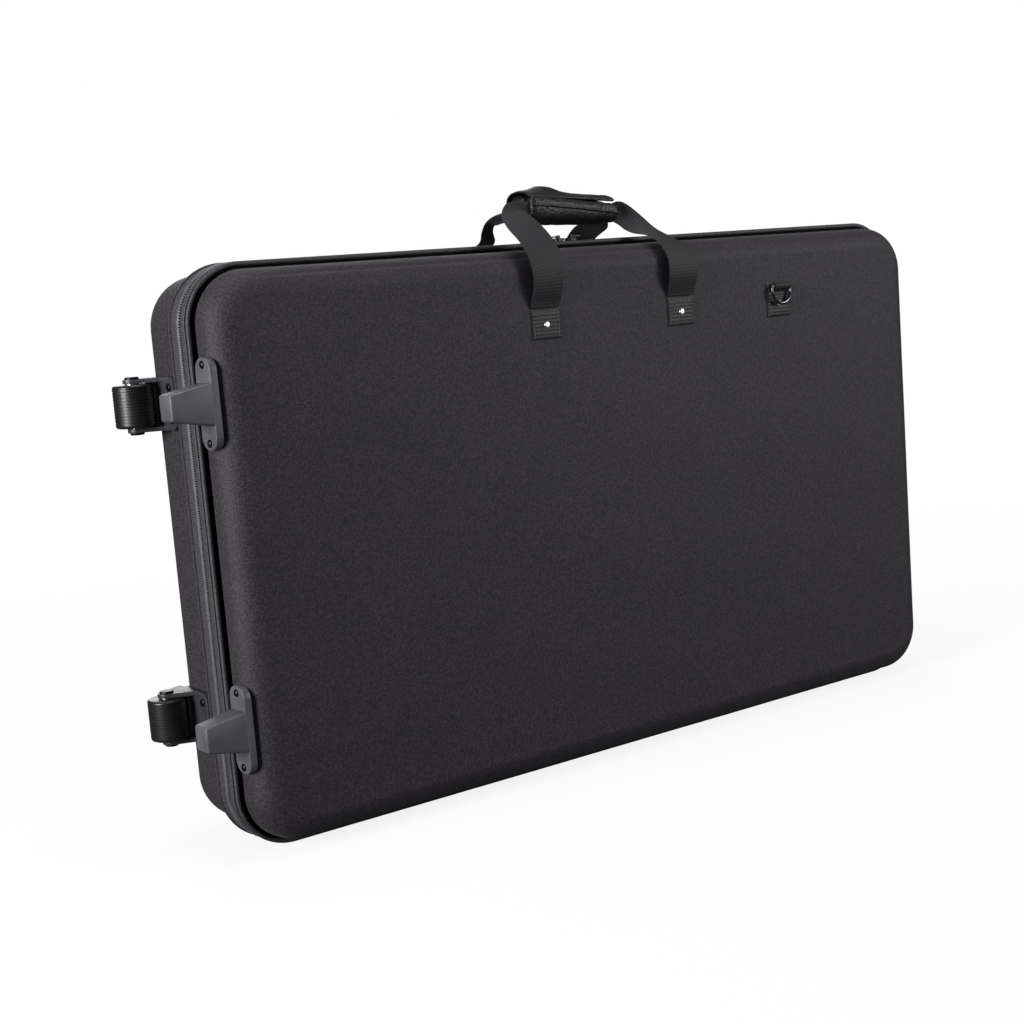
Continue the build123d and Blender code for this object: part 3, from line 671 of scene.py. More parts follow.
HALVES = ((-1, "front", "lid", -FRONT_DEPTH), (1, "rear", "base", REAR_DEPTH))
for side, word, body, face_y in HALVES:
    for hand, way in (("left", -1), ("right", 1)):
        bm, uv = cloth_mesh()
        patch_body(bm, uv, Vector((way * HANDLE_X, face_y, PATCH_MIDDLE)), side, PATCH_HEIGHT)
        patch = new_piece(f"{word}_{hand}_patch_sewn", bm, [coated_weave, nylon_thread], 50)
        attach(patch, body)
        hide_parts(f"{word}_{hand}_strap_patch")

# Ring tabs: the same patch, its strip rolled round the ring's straight bar at the top
RING_X, RING_Z, RING_PATCH_MIDDLE, RING_PATCH_HEIGHT = 254 * MM, 507.4 * MM, 492 * MM, 40 * MM
SLEEVE_RADIUS, SLEEVE_HALF, BAR_RADIUS = 4.6 * MM, 12 * MM, 2.15 * MM
for side, word, body, face_y in HALVES:
    x = -side * RING_X
    bm, uv = cloth_mesh()
    patch_body(bm, uv, Vector((x, face_y, RING_PATCH_MIDDLE)), side, RING_PATCH_HEIGHT)
    bar_y = face_y + side * (PATCH_SHEET + SLEEVE_RADIUS)
    rows, marks = [], []
    angles = [2 * math.pi * i / 20 for i in range(20)]
    for radius in (SLEEVE_RADIUS, BAR_RADIUS):
        for at in (-1, 1):
            rows.append([bm.verts.new((x + at * SLEEVE_HALF, bar_y + radius * math.cos(a),
                                       RING_Z + radius * math.sin(a))) for a in angles])
            marks.append([(radius * a, at * SLEEVE_HALF) for a in angles])
    for a, b in ((0, 1), (1, 3), (3, 2), (2, 0)):
        strip_faces(bm, uv, rows[a], rows[b], marks[a], marks[b], True)
    start, end = (Vector((x + at * SLEEVE_HALF, face_y + side * (PATCH_SHEET + 0.05 * MM), RING_Z - 7 * MM))
                  for at in (-1, 1))
    stitch_run(bm, start, end, Vector((0, side, 0)))
    tab = new_piece(word + "_ring_tab_sewn", bm, [coated_weave, nylon_thread], 50)
    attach(tab, body)
    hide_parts(word + "_ring_tab")


# Carrying handles: 38 mm polyester webbing with a flat rib, rising from each patch in a stiff
# bow, over the case's edge and folded in at the end of the padded grip.
WEBBING_WIDTH, WEBBING_SHEET, WEBBING_COLUMNS = 38 * MM, 1.8 * MM, 8
webbing_cloth, tree = new_material("ribbed_polyester_webbing")
rib = yarn_wave(tree, 1.7 * MM, "Y", 0.5, 1.0, 3.0)
warp = yarn_wave(tree, 1.3 * MM, "X", 0.3)
weave = add_node(tree, "Math", {0: rib, 1: warp, 2: 0.35}, operation="MULTIPLY_ADD").outputs[0]
mix = add_node(tree, "Math", {0: rib, 1: noise_texture(tree, 500.0)}, operation="MULTIPLY").outputs[0]
finish_coat(tree, {"Base Color": ramp(tree, mix, "#121014", "#242026", 0.0, 0.6), "Roughness": 0.68,
                   "Sheen Weight": 0.05, "Sheen Roughness": 0.4}, weave, 0.3 * MM)


def smooth_path(points, steps):
    """Points along a smooth curve through the given ones."""
    found = []
    for i in range(len(points) - 1):
        a, b = points[max(i - 1, 0)], points[i]
        c, d = points[i + 1], points[min(i + 2, len(points) - 1)]
        for k in range(steps):
            t = k / steps
            found.append(0.5 * (2 * b + (c - a) * t + (2 * a - 5 * b + 4 * c - d) * t * t
                                + (3 * b - a - 3 * c + d) * t ** 3))
    found.append(points[-1].copy())
    return found


def closed_sheet(bm, uv, layers):
    """Two layers of cloth, each its rows and their marks, closed round their edges."""
    (top, top_marks), (low, low_marks) = layers
    last = len(top) - 1
    for rows, marks in layers:
        swept_faces(bm, uv, rows, marks, False)
    for j in (0, last):
        strip_faces(bm, uv, top[j], low[j], top_marks[j], low_marks[j], False)
    for i in (0, -1):
        for j in range(last):
            bm.faces.new((top[j][i], top[j + 1][i], low[j + 1][i], low[j][i]))


def webbing_strip(bm, uv, stations, facing_point, steps=8):
    """Webbing through stations in millimetres, each a left edge, a right edge and how far the
    middle bows toward facing_point."""
    left, right_points, bows = (
        smooth_path([Vector(found) * MM for found in column], steps)
        for column in zip(*((a, b, (bow, 0, 0)) for a, b, bow in stations))
    )
    count = len(left)
    middle = [(a + b) / 2 for a, b in zip(left, right_points)]
    run = [0.0]
    for i in range(1, count):
        run.append(run[-1] + (middle[i] - middle[i - 1]).length)
    outs = []
    for i in range(count):
        way = (middle[min(i + 1, count - 1)] - middle[max(i - 1, 0)]).normalized()
        out = way.cross(right_points[i] - left[i]).normalized()
        reference = outs[-1] if outs else facing_point * MM - middle[0]
        outs.append(out if out.dot(reference) > 0 else -out)
    sheets = []
    for side in (1, -1):
        rows, marks = [], []
        for j in range(WEBBING_COLUMNS + 1):
            s = j / WEBBING_COLUMNS
            row = []
            for i in range(count):
                soft = bows[i].x * (1 - (2 * s - 1) ** 2)
                edge = 0.55 if j in (0, WEBBING_COLUMNS) else 1.0
                point = left[i].lerp(right_points[i], s) + outs[i] * (soft + side * edge * WEBBING_SHEET / 2)
                row.append(bm.verts.new(point))
            rows.append(row)
            marks.append([(s * WEBBING_WIDTH, r) for r in run])
        sheets.append((rows, marks))
    closed_sheet(bm, uv, sheets)


front_legs = (
    [((-116, -59.4, 506.7), (-78, -59.4, 506.7), 0), ((-116.3, -61.2, 512), (-77.7, -61.2, 512), 0.2),
     ((-116.8, -67.5, 527), (-77.8, -67.5, 527), 0.9), ((-117.5, -69.5, 541), (-78, -70, 545), 1),
     ((-119.5, -67, 558), (-77, -66.5, 561), 1), ((-124, -59, 576), (-80, -59, 577), 1),
     ((-128, -45, 592), (-84.5, -46, 593), 1), ((-124, -32, 604), (-87, -33, 603), 0.5),
     ((-116, -24, 613), (-87, -24, 608), -1), ((-104, -18.5, 619), (-82, -18.5, 608), -1),
     ((-88, -17.3, 620), (-74, -17.3, 607), 0), ((-66, -17.3, 618), (-66, -17.3, 606), 0)],
    [((78, -59.4, 506.7), (116, -59.4, 506.7), 0), ((77.7, -61.2, 512), (116.2, -61.2, 512), 0.2),
     ((75.5, -67.5, 527), (116.8, -67.5, 527), 0.9), ((75, -68.5, 540), (117.8, -68, 541), 1),
     ((74.5, -66, 552), (118, -63.5, 552), 1), ((71, -57.5, 567), (110, -58, 562), 1),
     ((66, -45, 575.5), (96, -49.5, 572.5), 1), ((58, -32, 579), (83, -40, 583), 0),
     ((52, -25, 583.5), (72, -27, 600), -3), ((47, -21, 589), (60, -20, 612), -5),
     ((42, -18, 593), (50, -16.5, 615.5), -5), ((36, -17.3, 597), (38, -16.5, 612), -2)],
)
rear_legs = (
    [((-116, 101.4, 506.7), (-78, 101.4, 506.7), 0), ((-116, 103.2, 512), (-78, 103.2, 512), 0.2),
     ((-115, 110.5, 530), (-77, 110.5, 530), 1), ((-112, 110.5, 546), (-72, 111, 548), 1),
     ((-103, 104, 560), (-60, 106, 564), 1), ((-90, 88, 571), (-52, 97, 573), 1),
     ((-80, 72, 581), (-50, 83, 582), 1), ((-84, 60, 592), (-58, 74, 593), 1),
     ((-91, 44, 600), (-69, 56, 599), 0.5), ((-94, 28, 606), (-79, 36, 599), 0),
     ((-88, 14, 610), (-82, 18, 600), 0), ((-66, 5, 612), (-66, 5, 600), 0)],
    [((78, 101.4, 506.7), (116, 101.4, 506.7), 0), ((78, 103.2, 512), (116, 103.2, 512), 0.2),
     ((77, 110.5, 530), (115, 110.5, 530), 1), ((73, 111, 547), (110, 110.5, 547), 1),
     ((65, 105, 563), (102, 103, 561), 1), ((58, 92, 575), (96, 90, 572), 1),
     ((53, 75, 586), (90, 73, 579), 1), ((47, 58, 592), (85, 56, 584), 1),
     ((42, 40, 596), (78, 36, 589), 0), ((40, 24, 600), (66, 20, 594), -1),
     ((40, 12, 604), (52, 8, 598), -2), ((42, 5, 606), (42, 5, 598), 0)],
)
for word, body, legs, look in (
    ("front", "front_handle", front_legs, Vector((0, -400, 700))),
    ("rear", "rear_handle", rear_legs, Vector((0, 400, 700))),
):
    bm, uv = cloth_mesh()
    for leg in legs:
        webbing_strip(bm, uv, leg, look)
    strap = new_piece(word + "_carrying_webbing", bm, [webbing_cloth], 45)
    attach(strap, body)
    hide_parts(word + "_strap")


# Padded grip: foam wrapped in grained leatherette, in two halves, one on each webbing loop,
# and a stitched flap of the same stuff that closes over both.
GRIP_MIDDLE_X = -15 * MM


def cell_texture(tree, size, place="Object"):
    """Small cells, each as wide as size: the distance from the middle of the nearest."""
    place = add_node(tree, "TexCoord").outputs[place]
    return add_node(tree, "TexVoronoi", {"Vector": place, "Scale": 1 / size}).outputs["Distance"]


leatherette, tree = new_material("grained_pu_leatherette")
grain = cell_texture(tree, 2.2 * MM)
fold = noise_texture(tree, 60.0, 4.0)
relief = add_node(tree, "Math", {0: fold, 1: 1.6, 2: grain}, operation="MULTIPLY_ADD").outputs[0]
gloss = add_node(tree, "MapRange", {"Value": grain, "From Min": 0.0, "From Max": 0.8,
                                   "To Min": 0.36, "To Max": 0.54}).outputs[0]
finish_coat(tree, {"Base Color": ramp(tree, fold, "#060507", "#0E0D10", 0.3, 0.75), "Roughness": gloss},
            relief, 0.5 * MM)


def stuffed_roll(name, y, width, left_end, right_end, power, tuck, seed):
    """A closed roll of padding. Each end is (x, bottom, top); tuck draws its underside back."""
    bm, uv = cloth_mesh()
    rings, around = 34, 32
    rows, marks = [], []
    for k in range(rings + 1):
        s = k / rings
        x, low, high = (a + (b - a) * s for a, b in zip(left_end, right_end))
        near_end = 2 * s - 1
        end = 0.6 if k in (0, rings) else (1 - abs(near_end) ** 12) ** 0.5 * 0.25 + 0.75
        row = []
        for i in range(around):
            angle = 2 * math.pi * i / around
            c, sn = math.cos(angle), math.sin(angle)
            dy = math.copysign(abs(c) ** power, c) * width / 2
            dz = math.copysign(abs(sn) ** power, sn)
            if dz < 0:
                dy += tuck * width * dz * dz * (0.5 - 0.5 * c)
            wrinkle = noise.noise(Vector((near_end * 8 + seed, c * 1.2, sn * 1.2)))
            grow = end + wrinkle * (0.04 + 0.05 * abs(near_end))
            row.append(bm.verts.new((x, y + dy * grow, (low + high) / 2 + dz * (high - low) / 2 * grow)))
        rows.append(row)
        marks.append([(i / around * 3.14 * (high - low), x) for i in range(around)])
    swept_faces(bm, uv, rows, marks, True)
    for row in (rows[0], rows[-1]):
        bm.faces.new(row)
    return new_piece(name, bm, [leatherette, nylon_thread], 60)


def welt(name, points, radius):
    """A thin sewn cord through the given points."""
    path = smooth_path([Vector(p) for p in points], 8)
    bm = bmesh.new()
    rings = []
    for i, point in enumerate(path):
        way = (path[min(i + 1, len(path) - 1)] - path[max(i - 1, 0)]).normalized()
        beside = way.cross(UP).normalized()
        above = beside.cross(way)
        width = radius * (0.55 if i in (0, len(path) - 1) else 1.0)
        rings.append([bm.verts.new(point + width * (math.cos(a) * beside + math.sin(a) * above))
                      for a in (2 * math.pi * n / 10 for n in range(10))])
    tube(bm, rings)
    return new_piece(name, bm, [leatherette], 60)


def joined(name, main, *others):
    """Several pieces made one."""
    bpy.ops.object.select_all(action="DESELECT")
    for piece in others:
        piece.select_set(True)
    main.select_set(True)
    bpy.context.view_layer.objects.active = main
    bpy.ops.object.join()
    main.name = name
    main.select_set(False)
    return main


def swell(piece, pressure, cap, voxel):
    """Cloth simulation: blows the padding up a little, so that its cover wrinkles and pulls."""
    bpy.ops.object.select_all(action="DESELECT")
    bpy.context.view_layer.objects.active = piece
    piece.select_set(True)
    remesh = piece.modifiers.new("even", "REMESH")
    remesh.mode, remesh.voxel_size = "VOXEL", voxel
    bpy.ops.object.modifier_apply(modifier="even")
    before = [v.co.copy() for v in piece.data.vertices]
    cloth = piece.modifiers.new("stuffing", "CLOTH")
    cloth.settings.use_pressure = True
    cloth.settings.uniform_pressure_force = pressure
    cloth.settings.effector_weights.gravity = 0
    cloth.settings.tension_stiffness = 12
    scene = bpy.context.scene
    last_step = 20
    scene.frame_start, scene.frame_end = 1, last_step
    for step in range(1, last_step + 1):
        scene.frame_set(step)
    bpy.ops.object.modifier_apply(modifier="stuffing")
    for vertex, old in zip(piece.data.vertices, before):
        way = vertex.co - old
        if way.length > cap:
            vertex.co = old + way * (cap / way.length)
    scene.frame_set(1)
    soft = piece.modifiers.new("soft", "SUBSURF")
    soft.levels = soft.render_levels = 1
    bpy.ops.object.modifier_apply(modifier="soft")
    bpy.ops.object.shade_smooth()
    piece.select_set(False)


GRIP_LEFT, GRIP_RIGHT = -76 * MM, 47 * MM
roll = stuffed_roll("front_roll_cover", -17 * MM, 14.5 * MM, (GRIP_LEFT, 597 * MM, 627 * MM),
                    (GRIP_RIGHT, 592 * MM, 613 * MM), 0.62, 0.42, 1.0)
swell(roll, 3.0, 0.6 * MM, 2.2 * MM)
seam_line = [(-0.075, -0.0235, 0.6155), (-0.05, -0.0252, 0.6135), (-0.01, -0.0255, 0.6095),
             (0.022, -0.0252, 0.6055), (0.046, -0.0232, 0.6025)]
seam = welt("front_roll_seam", seam_line, 1.5 * MM)
roll = joined("front_grip_stuffed", roll, seam)
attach(roll, "front_handle")
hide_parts("front_grip_roll")
pad = stuffed_roll("rear_grip_stuffed", 5.0 * MM, 27.5 * MM, (GRIP_LEFT, 596 * MM, 629 * MM),
                   (GRIP_RIGHT, 592.5 * MM, 617 * MM), 0.6, 0.0, 5.0)
swell(pad, 3.0, 0.6 * MM, 2.4 * MM)
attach(pad, "rear_handle")
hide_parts("rear_grip_pad")

# The flap: from behind, up and over the pad, with a free front edge. A bead of folded
# leatherette runs along that edge, and a stitch line along it and both ends.
FLAP_HALF_LENGTH, FLAP_SHEET, FLAP_COLUMNS = 60 * MM, 3.0 * MM, 40
STITCH_COLUMNS, STITCH_BACK = (3, 37), 6
flap_line = [(22.8, 609.3), (22.8, 614), (20.5, 619.5), (14, 623.4), (5, 625), (-3, 625),
             (-8, 624.3), (-12.5, 622.8), (-16.2, 620.4)]
bm, uv = cloth_mesh()
line = smooth_path([Vector((0, y, z)) * MM for y, z in flap_line], 5)
last = len(line) - 1
layers = []
for side in (1, -1):
    rows, marks, run = [], [], 0.0
    for k, point in enumerate(line):
        if k:
            run += (point - line[k - 1]).length
        way = (line[min(k + 1, last)] - line[max(k - 1, 0)]).normalized()
        out = Vector((0, way.z, -way.y)) * -1
        along_line = k / last
        row = []
        for i in range(FLAP_COLUMNS + 1):
            s = 2 * i / FLAP_COLUMNS - 1
            hem = 0.6 if i in (0, FLAP_COLUMNS) or k == last else 1.0
            tilt = (1.2 * MM - 4.2 * MM * s) * min(1.0, 4 * along_line)
            rise = math.sin(math.pi * min(1.0, along_line * 1.06)) ** 2
            hump = 7.5 * MM * math.exp(-((s + 0.42) / 0.34) ** 2) * rise
            wave = noise.noise(Vector((s * 5, along_line * 3, 2.0))) * math.sin(math.pi * along_line)
            offset = out * (side * hem * FLAP_SHEET / 2) + UP * (tilt + hump + 0.8 * MM * wave)
            row.append(bm.verts.new(point + offset + Vector((GRIP_MIDDLE_X + s * FLAP_HALF_LENGTH, 0, 0))))
        rows.append(row)
        marks.append([(2 * i / FLAP_COLUMNS * FLAP_HALF_LENGTH, run) for i in range(FLAP_COLUMNS + 1)])
    layers.append((rows, marks))
closed_sheet(bm, uv, layers)
top_rows, low_rows = layers[0][0], layers[1][0]
for i in STITCH_COLUMNS:
    for k in range(2, len(line) - STITCH_BACK, 3):
        stitch_run(bm, top_rows[k][i].co.copy(), top_rows[k + 3][i].co.copy(), UP)
for i in range(*STITCH_COLUMNS, 2):
    row = top_rows[len(line) - STITCH_BACK]
    stitch_run(bm, row[i].co.copy(), row[i + 2].co.copy(), Vector((0, -0.6, 0.8)))
edge_points = [((a.co + b.co) / 2).copy() for a, b in zip(top_rows[-1][::4], low_rows[-1][::4])]
flap = new_piece("flap_cover", bm, [leatherette, nylon_thread], 60)
flap = joined("grip_flap_stitched", flap, welt("flap_edge_welt", edge_points, 1.9 * MM))
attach(flap, "flap")
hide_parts("grip_flap")


# Metal fittings: polished rivets, dark nickel rings, black screws and enamelled zip sliders,
# all the CAD's own nodes. Screws and steel also serve the feet and axles further down.
def metal(name, colour, roughness, grain):
    """Plated or polished metal with fine wear in its roughness."""
    material, tree = new_material(name)
    wear = noise_texture(tree, grain, 4.0)
    rough = add_node(tree, "MapRange", {"Value": wear, "To Min": roughness * 0.75,
                                        "To Max": roughness * 1.35}).outputs[0]
    finish_coat(tree, {"Base Color": hex_colour(colour), "Metallic": 1.0, "Roughness": rough},
                wear, 0.03 * MM)
    return material


def coat_only(piece, material):
    """Gives a piece this material in place of all it has."""
    piece.data.materials.clear()
    piece.data.materials.append(material)


def dress(material, *nodes):
    """Gives CAD nodes a material."""
    for node in nodes:
        coat_only(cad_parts[node], material)


dress(metal("polished_nickel_rivet", "#E4E3E6", 0.4, 300.0), "lid_rivets", "base_rivets", "tow_rivets")
dress(metal("black_nickel_ring", "#5B5A60", 0.16, 200.0), "front_d_ring", "rear_d_ring")
black_zinc = metal("black_zinc_screw", "#2A2A2D", 0.38, 400.0)
bright_steel = metal("bright_steel_pin", "#C9C9CE", 0.25, 400.0)
dress(black_zinc, "foot_screws", "bracket_screws")
dress(metal("black_enamel_slider", "#2B2B2F", 0.35, 300.0),
      "left_slider", "right_slider", "left_pull_tab", "right_pull_tab")


# Feet and wheel brackets: injection-moulded plastic with a fine spark-eroded texture. The
# rollers are turned from hard rubber, with fine lines round the tread.
def moulded_plastic(name, dark, light, roughness, texture):
    """Moulded plastic: a fine texture in the bump, and slight shade from handling."""
    material, tree = new_material(name)
    broad = noise_texture(tree, 35.0, 4.0)
    rough = add_node(tree, "MapRange", {"Value": broad, "To Min": roughness - 0.06,
                                        "To Max": roughness + 0.08}).outputs[0]
    finish_coat(tree, {"Base Color": ramp(tree, broad, dark, light, 0.3, 0.7), "Roughness": rough,
                       "IOR": 1.52}, noise_texture(tree, texture), 0.08 * MM)
    return material


# The feet are black plastic. Their base colour is a lighter grey that paints the sheen they catch, so it is
# partly painted reflection.
foot_plastic_painted_sheen = moulded_plastic("moulded_abs_foot_painted_sheen", "#46454C", "#57565E", 0.46, 900.0)
bracket_plastic = moulded_plastic("moulded_nylon_bracket", "#252429", "#313036", 0.42, 900.0)
hard_rubber = moulded_plastic("turned_hard_rubber", "#0C0C0E", "#151517", 0.34, 500.0)


def block(name, low, high):
    """A block between two corners, given in millimetres."""
    middle = [(a + b) / 2 * MM for a, b in zip(low, high)]
    bpy.ops.mesh.primitive_cube_add(size=1, location=middle)
    piece = bpy.context.active_object
    piece.name = name
    piece.scale = [(b - a) * MM for a, b in zip(low, high)]
    bpy.ops.object.transform_apply(location=True, rotation=False, scale=True)
    return piece


def round_long_edges(piece, radius, segments):
    """Bevels the edges that run along the case."""
    bpy.ops.object.mode_set(mode="EDIT")
    bpy.ops.mesh.select_mode(type="EDGE")
    bpy.ops.mesh.select_all(action="DESELECT")
    edit = bmesh.from_edit_mesh(piece.data)
    for edge in edit.edges:
        a, b = edge.verts[0].co, edge.verts[1].co
        edge.select = abs(a.y - b.y) < 1e-6 and abs(a.z - b.z) < 1e-6
    edit.select_flush_mode()
    bmesh.update_edit_mesh(piece.data)
    bpy.ops.mesh.bevel(offset=radius, segments=segments, affect="EDGES")
    bpy.ops.object.mode_set(mode="OBJECT")


def eased(piece, width, segments=3, angle=35):
    """Takes the sharpness off every edge, as a mould does, and smooths the faces."""
    bpy.ops.object.select_all(action="DESELECT")
    piece.select_set(True)
    bpy.context.view_layer.objects.active = piece
    ease = piece.modifiers.new("ease", "BEVEL")
    ease.width, ease.segments = width, segments
    ease.limit_method, ease.angle_limit = "ANGLE", math.radians(angle)
    bpy.ops.object.modifier_apply(modifier="ease")
    bpy.ops.object.shade_smooth_by_angle(angle=math.radians(35))


def domed_screw(name, x, y, z, radius, rise):
    """A round screw head that faces the wheel end. Its measures are in millimetres."""
    bpy.ops.mesh.primitive_uv_sphere_add(segments=24, ring_count=12, radius=1,
                                         location=(x * MM, y * MM, z * MM),
                                         scale=(rise * MM, radius * MM, radius * MM))
    head = bpy.context.active_object
    head.name = name
    bpy.ops.object.transform_apply(location=True, rotation=False, scale=True)
    bpy.ops.object.shade_smooth()
    return head


MIDDLE_Z, FOOT_SPACING, FOOT_SCREW_RISE = 288, 157, 37
FOOT_LEVELS = (("upper", MIDDLE_Z + FOOT_SPACING), ("lower", MIDDLE_Z - FOOT_SPACING))
for word, z in FOOT_LEVELS:
    plate = block("plate", (-492, -52.5, z - 43.5), (-484, -23, z + 43.5))
    round_long_edges(plate, 12.5 * MM, 9)
    eased(plate, 0.9 * MM)
    arm = block("arm", (-534, -52.5, z - 20.5), (-490, -25, z + 20.5))
    bpy.ops.object.mode_set(mode="EDIT")
    bpy.ops.mesh.select_all(action="DESELECT")
    edit = bmesh.from_edit_mesh(arm.data)
    for face in edit.faces:
        if face.normal.x < -0.9:
            face.select = True
    bmesh.update_edit_mesh(arm.data)
    bpy.ops.transform.resize(value=(1, 0.87, 0.6), center_override=(-0.534, -0.0395, (z + 0.6) * MM))
    bpy.ops.object.mode_set(mode="OBJECT")
    eased(arm, 2.2 * MM, 4)
    web = block("web", (-491.5, -51.5, z - 23), (-488, -27, z + 23))
    eased(web, 1.5 * MM, 3)
    foot = joined(word + "_foot_moulded", plate, arm, web)
    coat_only(foot, foot_plastic_painted_sheen)
    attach(foot, "lid")
    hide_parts(word + "_foot")

heads = [domed_screw("head", -492, -38.5, MIDDLE_Z + level + rise, 4.0, 2.4)
         for level in (-FOOT_SPACING, FOOT_SPACING) for rise in (-FOOT_SCREW_RISE, FOOT_SCREW_RISE)]
screws = joined("foot_screw_heads", heads[0], *heads[1:])
screws.data.materials.append(black_zinc)
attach(screws, "lid")
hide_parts("foot_screws")


def cad_copy(name, node):
    """A copy of a CAD node, picked and ready to work on."""
    bpy.ops.object.select_all(action="DESELECT")
    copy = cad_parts[node].copy()
    copy.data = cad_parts[node].data.copy()
    copy.name = name
    bpy.context.collection.objects.link(copy)
    bpy.context.view_layer.objects.active = copy
    copy.select_set(True)
    return copy


def turned(name, profile, middle, sides=64):
    """A part turned on a lathe: (radius, height) steps up its upright axis, in millimetres."""
    bpy.ops.mesh.primitive_circle_add(vertices=sides, radius=profile[0][0] * MM, fill_type="NGON",
                                      location=(middle[0] * MM, middle[1] * MM,
                                                (middle[2] + profile[0][1]) * MM))
    piece = bpy.context.active_object
    piece.name = name
    bpy.ops.object.transform_apply(location=True)
    bpy.ops.object.mode_set(mode="EDIT")
    bpy.ops.mesh.select_all(action="SELECT")
    for (radius, height), (wider, higher) in zip(profile, profile[1:]):
        bpy.ops.mesh.extrude_region_move(TRANSFORM_OT_translate={"value": (0, 0, (higher - height) * MM)})
        share = wider / radius
        bpy.ops.transform.resize(value=(share, share, 1),
                                 center_override=(middle[0] * MM, middle[1] * MM, (middle[2] + higher) * MM))
    bpy.ops.mesh.select_all(action="SELECT")
    bpy.ops.mesh.normals_make_consistent(inside=False)
    bpy.ops.object.mode_set(mode="OBJECT")
    bpy.ops.object.shade_smooth_by_angle(angle=math.radians(40))
    return piece


# Roller: a plain cylinder with rounded shoulders and shallow turned lines, on its axle with
# two washers. The bracket is the CAD's own, with its sharp edges eased.
AXLE_X, AXLE_Y, STEEL_HALF = -514, 70, 25
roller_profile = [(4.1, -21), (17.6, -21), (19.2, -20.3), (20, -18.8)]
for n in range(13):
    line_at = -18 + 3 * n
    roller_profile += [(20, line_at - 0.35), (19.55, line_at - 0.15), (19.55, line_at + 0.15),
                       (20, line_at + 0.35)]
roller_profile += [(20, 18.8), (19.2, 20.3), (17.6, 21), (4.1, 21)]
axle_profile = [
    (4.5, -28.5), (6.4, -28.3), (7, -27.4), (7, -26), (4, -25.9), (4, -21.95), (7, -21.9), (7, -21.1),
    (3.9, -21.05),
]
axle_profile += [(radius, -height) for radius, height in reversed(axle_profile)]
for word, z in FOOT_LEVELS:
    bracket = cad_copy(word + "_bracket_moulded", word + "_wheel_bracket")
    bpy.ops.object.mode_set(mode="EDIT")
    bpy.ops.mesh.select_all(action="SELECT")
    bpy.ops.mesh.remove_doubles(threshold=0.01 * MM)
    bpy.ops.mesh.dissolve_limited(angle_limit=math.radians(1))
    bpy.ops.object.mode_set(mode="OBJECT")
    eased(bracket, 0.7 * MM, 2, 40)
    coat_only(bracket, bracket_plastic)
    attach(bracket, "base")
    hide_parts(word + "_wheel_bracket")
    roller = turned(word + "_roller", roller_profile, (AXLE_X, AXLE_Y, z))
    roller.data.materials.append(hard_rubber)
    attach(roller, word + "_wheel_body")
    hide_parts(word + "_wheel")
    axle = turned(word + "_axle_and_washers", axle_profile, (AXLE_X, AXLE_Y, z), 32)
    axle.data.materials.append(black_zinc)
    axle.data.materials.append(bright_steel)
    for face in axle.data.polygons:
        face.material_index = 1 if abs(face.center.z / MM - z) < STEEL_HALF else 0
    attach(axle, "base")
    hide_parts(word + "_axle")


# Tow handle: the same webbing, bowed between two riveted patches on the end away from the
# wheels.
tow_line = [(489.6, -85), (489.6, -62), (489.9, -48), (497, -40), (509, -34), (517, -26), (519.3, -12)]
tow_line += [(x, -z) for x, z in reversed(tow_line)]
bm, uv = cloth_mesh()
tow_stations = [((x, 39, MIDDLE_Z + z), (x, 77, MIDDLE_Z + z), 0.0) for x, z in tow_line]
webbing_strip(bm, uv, tow_stations, Vector((900, 58, MIDDLE_Z)), 6)
tow = new_piece("tow_handle_webbing", bm, [webbing_cloth], 45)
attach(tow, "base")
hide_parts("tow_handle")
dress(coated_weave, "upper_tow_patch", "lower_tow_patch")


# Inside: an egg-crate foam pad in the lid with a mesh pocket for cables on it, and a foam
# cradle in the base that the controller lies in.
cell_foam, tree = new_material("open_cell_foam")
shade = ramp(tree, noise_texture(tree, 30.0, 3.0), "#232227", "#38363C")
finish_coat(tree, {"Base Color": shade, "Roughness": 0.95}, cell_texture(tree, 2.5 * MM), 0.5 * MM)

FOAM_INSET, FOAM_BACK, FOAM_FRONT = 11 * MM, -32.4 * MM, -51.6 * MM
EGG_PITCH, EGG_HEIGHT, EGG_BORDER = 28 * MM, 5 * MM, 20 * MM
FLAT_HALF_LENGTH, FLAT_HALF_HEIGHT = 312 * MM, 117 * MM
FOAM_LONG_STEPS, FOAM_TALL_STEPS, FOAM_CORNER_STEPS = 110, 60, 6
FOAM_COLUMNS, FOAM_ROWS = FOAM_LONG_STEPS + 2 * FOAM_CORNER_STEPS, FOAM_TALL_STEPS + 2 * FOAM_CORNER_STEPS
bm, uv = cloth_mesh()
foam_stations = outline_stations(FOAM_LONG_STEPS, FOAM_TALL_STEPS, FOAM_CORNER_STEPS)
rows, marks = [], []
for across_at, grow in (
    (FOAM_FRONT, -FOAM_INSET - 16 * MM), (-47 * MM, -FOAM_INSET - 7 * MM), (-41 * MM, -FOAM_INSET - 1 * MM),
    (-36 * MM, -FOAM_INSET), (FOAM_BACK - EGG_HEIGHT, -FOAM_INSET),
):
    rows.append([bm.verts.new(station_point(s, across_at, grow)) for s in foam_stations])
    marks.append([(s[2], across_at) for s in foam_stations])
swept_faces(bm, uv, rows, marks, True)


def egg_crate(point):
    """The foam's wavy face: rows of soft pegs, lower at the border and none under the pocket."""
    beside, above = abs(point.x), abs(point.z - MIDDLE.z)
    border = min((CASE_HALF_LENGTH - FOAM_INSET - beside) / EGG_BORDER,
                 (CASE_HALF_HEIGHT - FOAM_INSET - above) / EGG_BORDER, 1.0)
    peg = math.cos(math.pi * beside / EGG_PITCH * 2) * math.cos(math.pi * above / EGG_PITCH * 2)
    flat = beside < FLAT_HALF_LENGTH and above < FLAT_HALF_HEIGHT
    rise = 0.0 if flat else max(0.0, border) * (0.5 + 0.5 * peg)
    return Vector((point.x, FOAM_BACK - EGG_HEIGHT * (1 - rise), point.z))


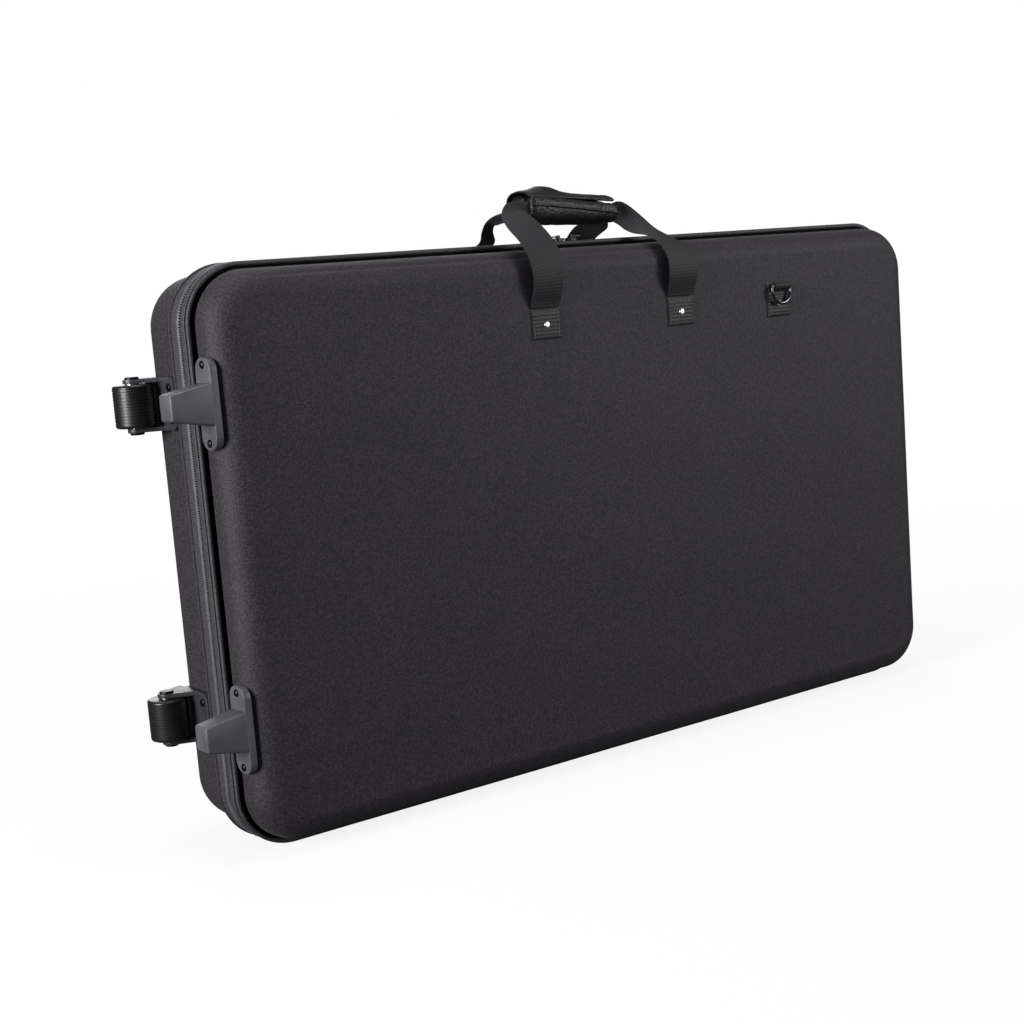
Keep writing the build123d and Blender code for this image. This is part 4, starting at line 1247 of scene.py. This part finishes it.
face_grid(bm, uv, rows[-1], FOAM_COLUMNS, FOAM_ROWS, egg_crate)
face_grid(bm, uv, rows[0], FOAM_COLUMNS, FOAM_ROWS, lambda p: p)
lid_foam = new_piece("egg_crate_lid_foam", bm, [cell_foam], 60)
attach(lid_foam, "lid")
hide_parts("lid_foam")

# Mesh pocket: a sheet of spacer mesh with a bound elastic hem, slightly loose over the foam
mesh_cloth, tree = new_material("spacer_mesh")
holes = cell_texture(tree, 3.0 * MM, "UV")
finish_coat(tree, {"Base Color": ramp(tree, holes, "#131215", "#35333A", 0.1, 0.5), "Roughness": 0.7},
            holes, 0.6 * MM)
POCKET_HALF_LENGTH, POCKET_HALF_HEIGHT, POCKET_SHEET = 310 * MM, 115 * MM, 1.0 * MM
POCKET_Y, POCKET_SUNK, POCKET_LOOSE = -31.9 * MM, 1.2 * MM, 3.4 * MM
POCKET_COLUMNS, POCKET_ROWS = 60, 28
bm, uv = cloth_mesh()
layers = []
for depth in (POCKET_Y - POCKET_SUNK, POCKET_Y + POCKET_SHEET - POCKET_SUNK):
    grid = []
    for j in range(POCKET_ROWS + 1):
        t = 2 * j / POCKET_ROWS - 1
        row = []
        for i in range(POCKET_COLUMNS + 1):
            s = 2 * i / POCKET_COLUMNS - 1
            wave = noise.noise(Vector((s * 4, t * 2, 1.0)))
            loose = (1 - s * s) * (1 - max(0.0, -t) ** 2) * 0.5 + 0.12 * wave
            y = depth + POCKET_LOOSE * max(0.0, loose)
            row.append(bm.verts.new((s * POCKET_HALF_LENGTH, y, MIDDLE.z + t * POCKET_HALF_HEIGHT)))
        grid.append(row)
    layers.append(grid)
    swept_faces(bm, uv, grid, [[(v.co.x, v.co.z) for v in row] for row in grid], False)
hem_low, hem_high = (border_of(grid) for grid in layers)
for i in range(len(hem_low)):
    bm.faces.new((hem_low[i - 1], hem_low[i], hem_high[i], hem_high[i - 1]))
pocket = new_piece("cable_pocket_mesh", bm, [mesh_cloth], 60)
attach(pocket, "lid")
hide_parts("cable_pocket")

# The cradle: blocks of the same foam glued round the controller's bay, their edges softened
cradle = cad_copy("glued_foam_cradle", "base_cradle")
merge = bmesh.new()
merge.from_mesh(cradle.data)
bmesh.ops.remove_doubles(merge, verts=merge.verts[:], dist=0.02 * MM)
merge.to_mesh(cradle.data)
merge.free()
remesh = cradle.modifiers.new("even", "REMESH")
remesh.mode, remesh.voxel_size = "VOXEL", 4.5 * MM
bpy.ops.object.modifier_apply(modifier="even")
soften = cradle.modifiers.new("soften", "SMOOTH")
soften.factor, soften.iterations = 0.5, 4
bpy.ops.object.modifier_apply(modifier="soften")
bpy.ops.object.shade_smooth()
coat_only(cradle, cell_foam)
cradle.select_set(False)
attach(cradle, "base")
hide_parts("base_cradle")
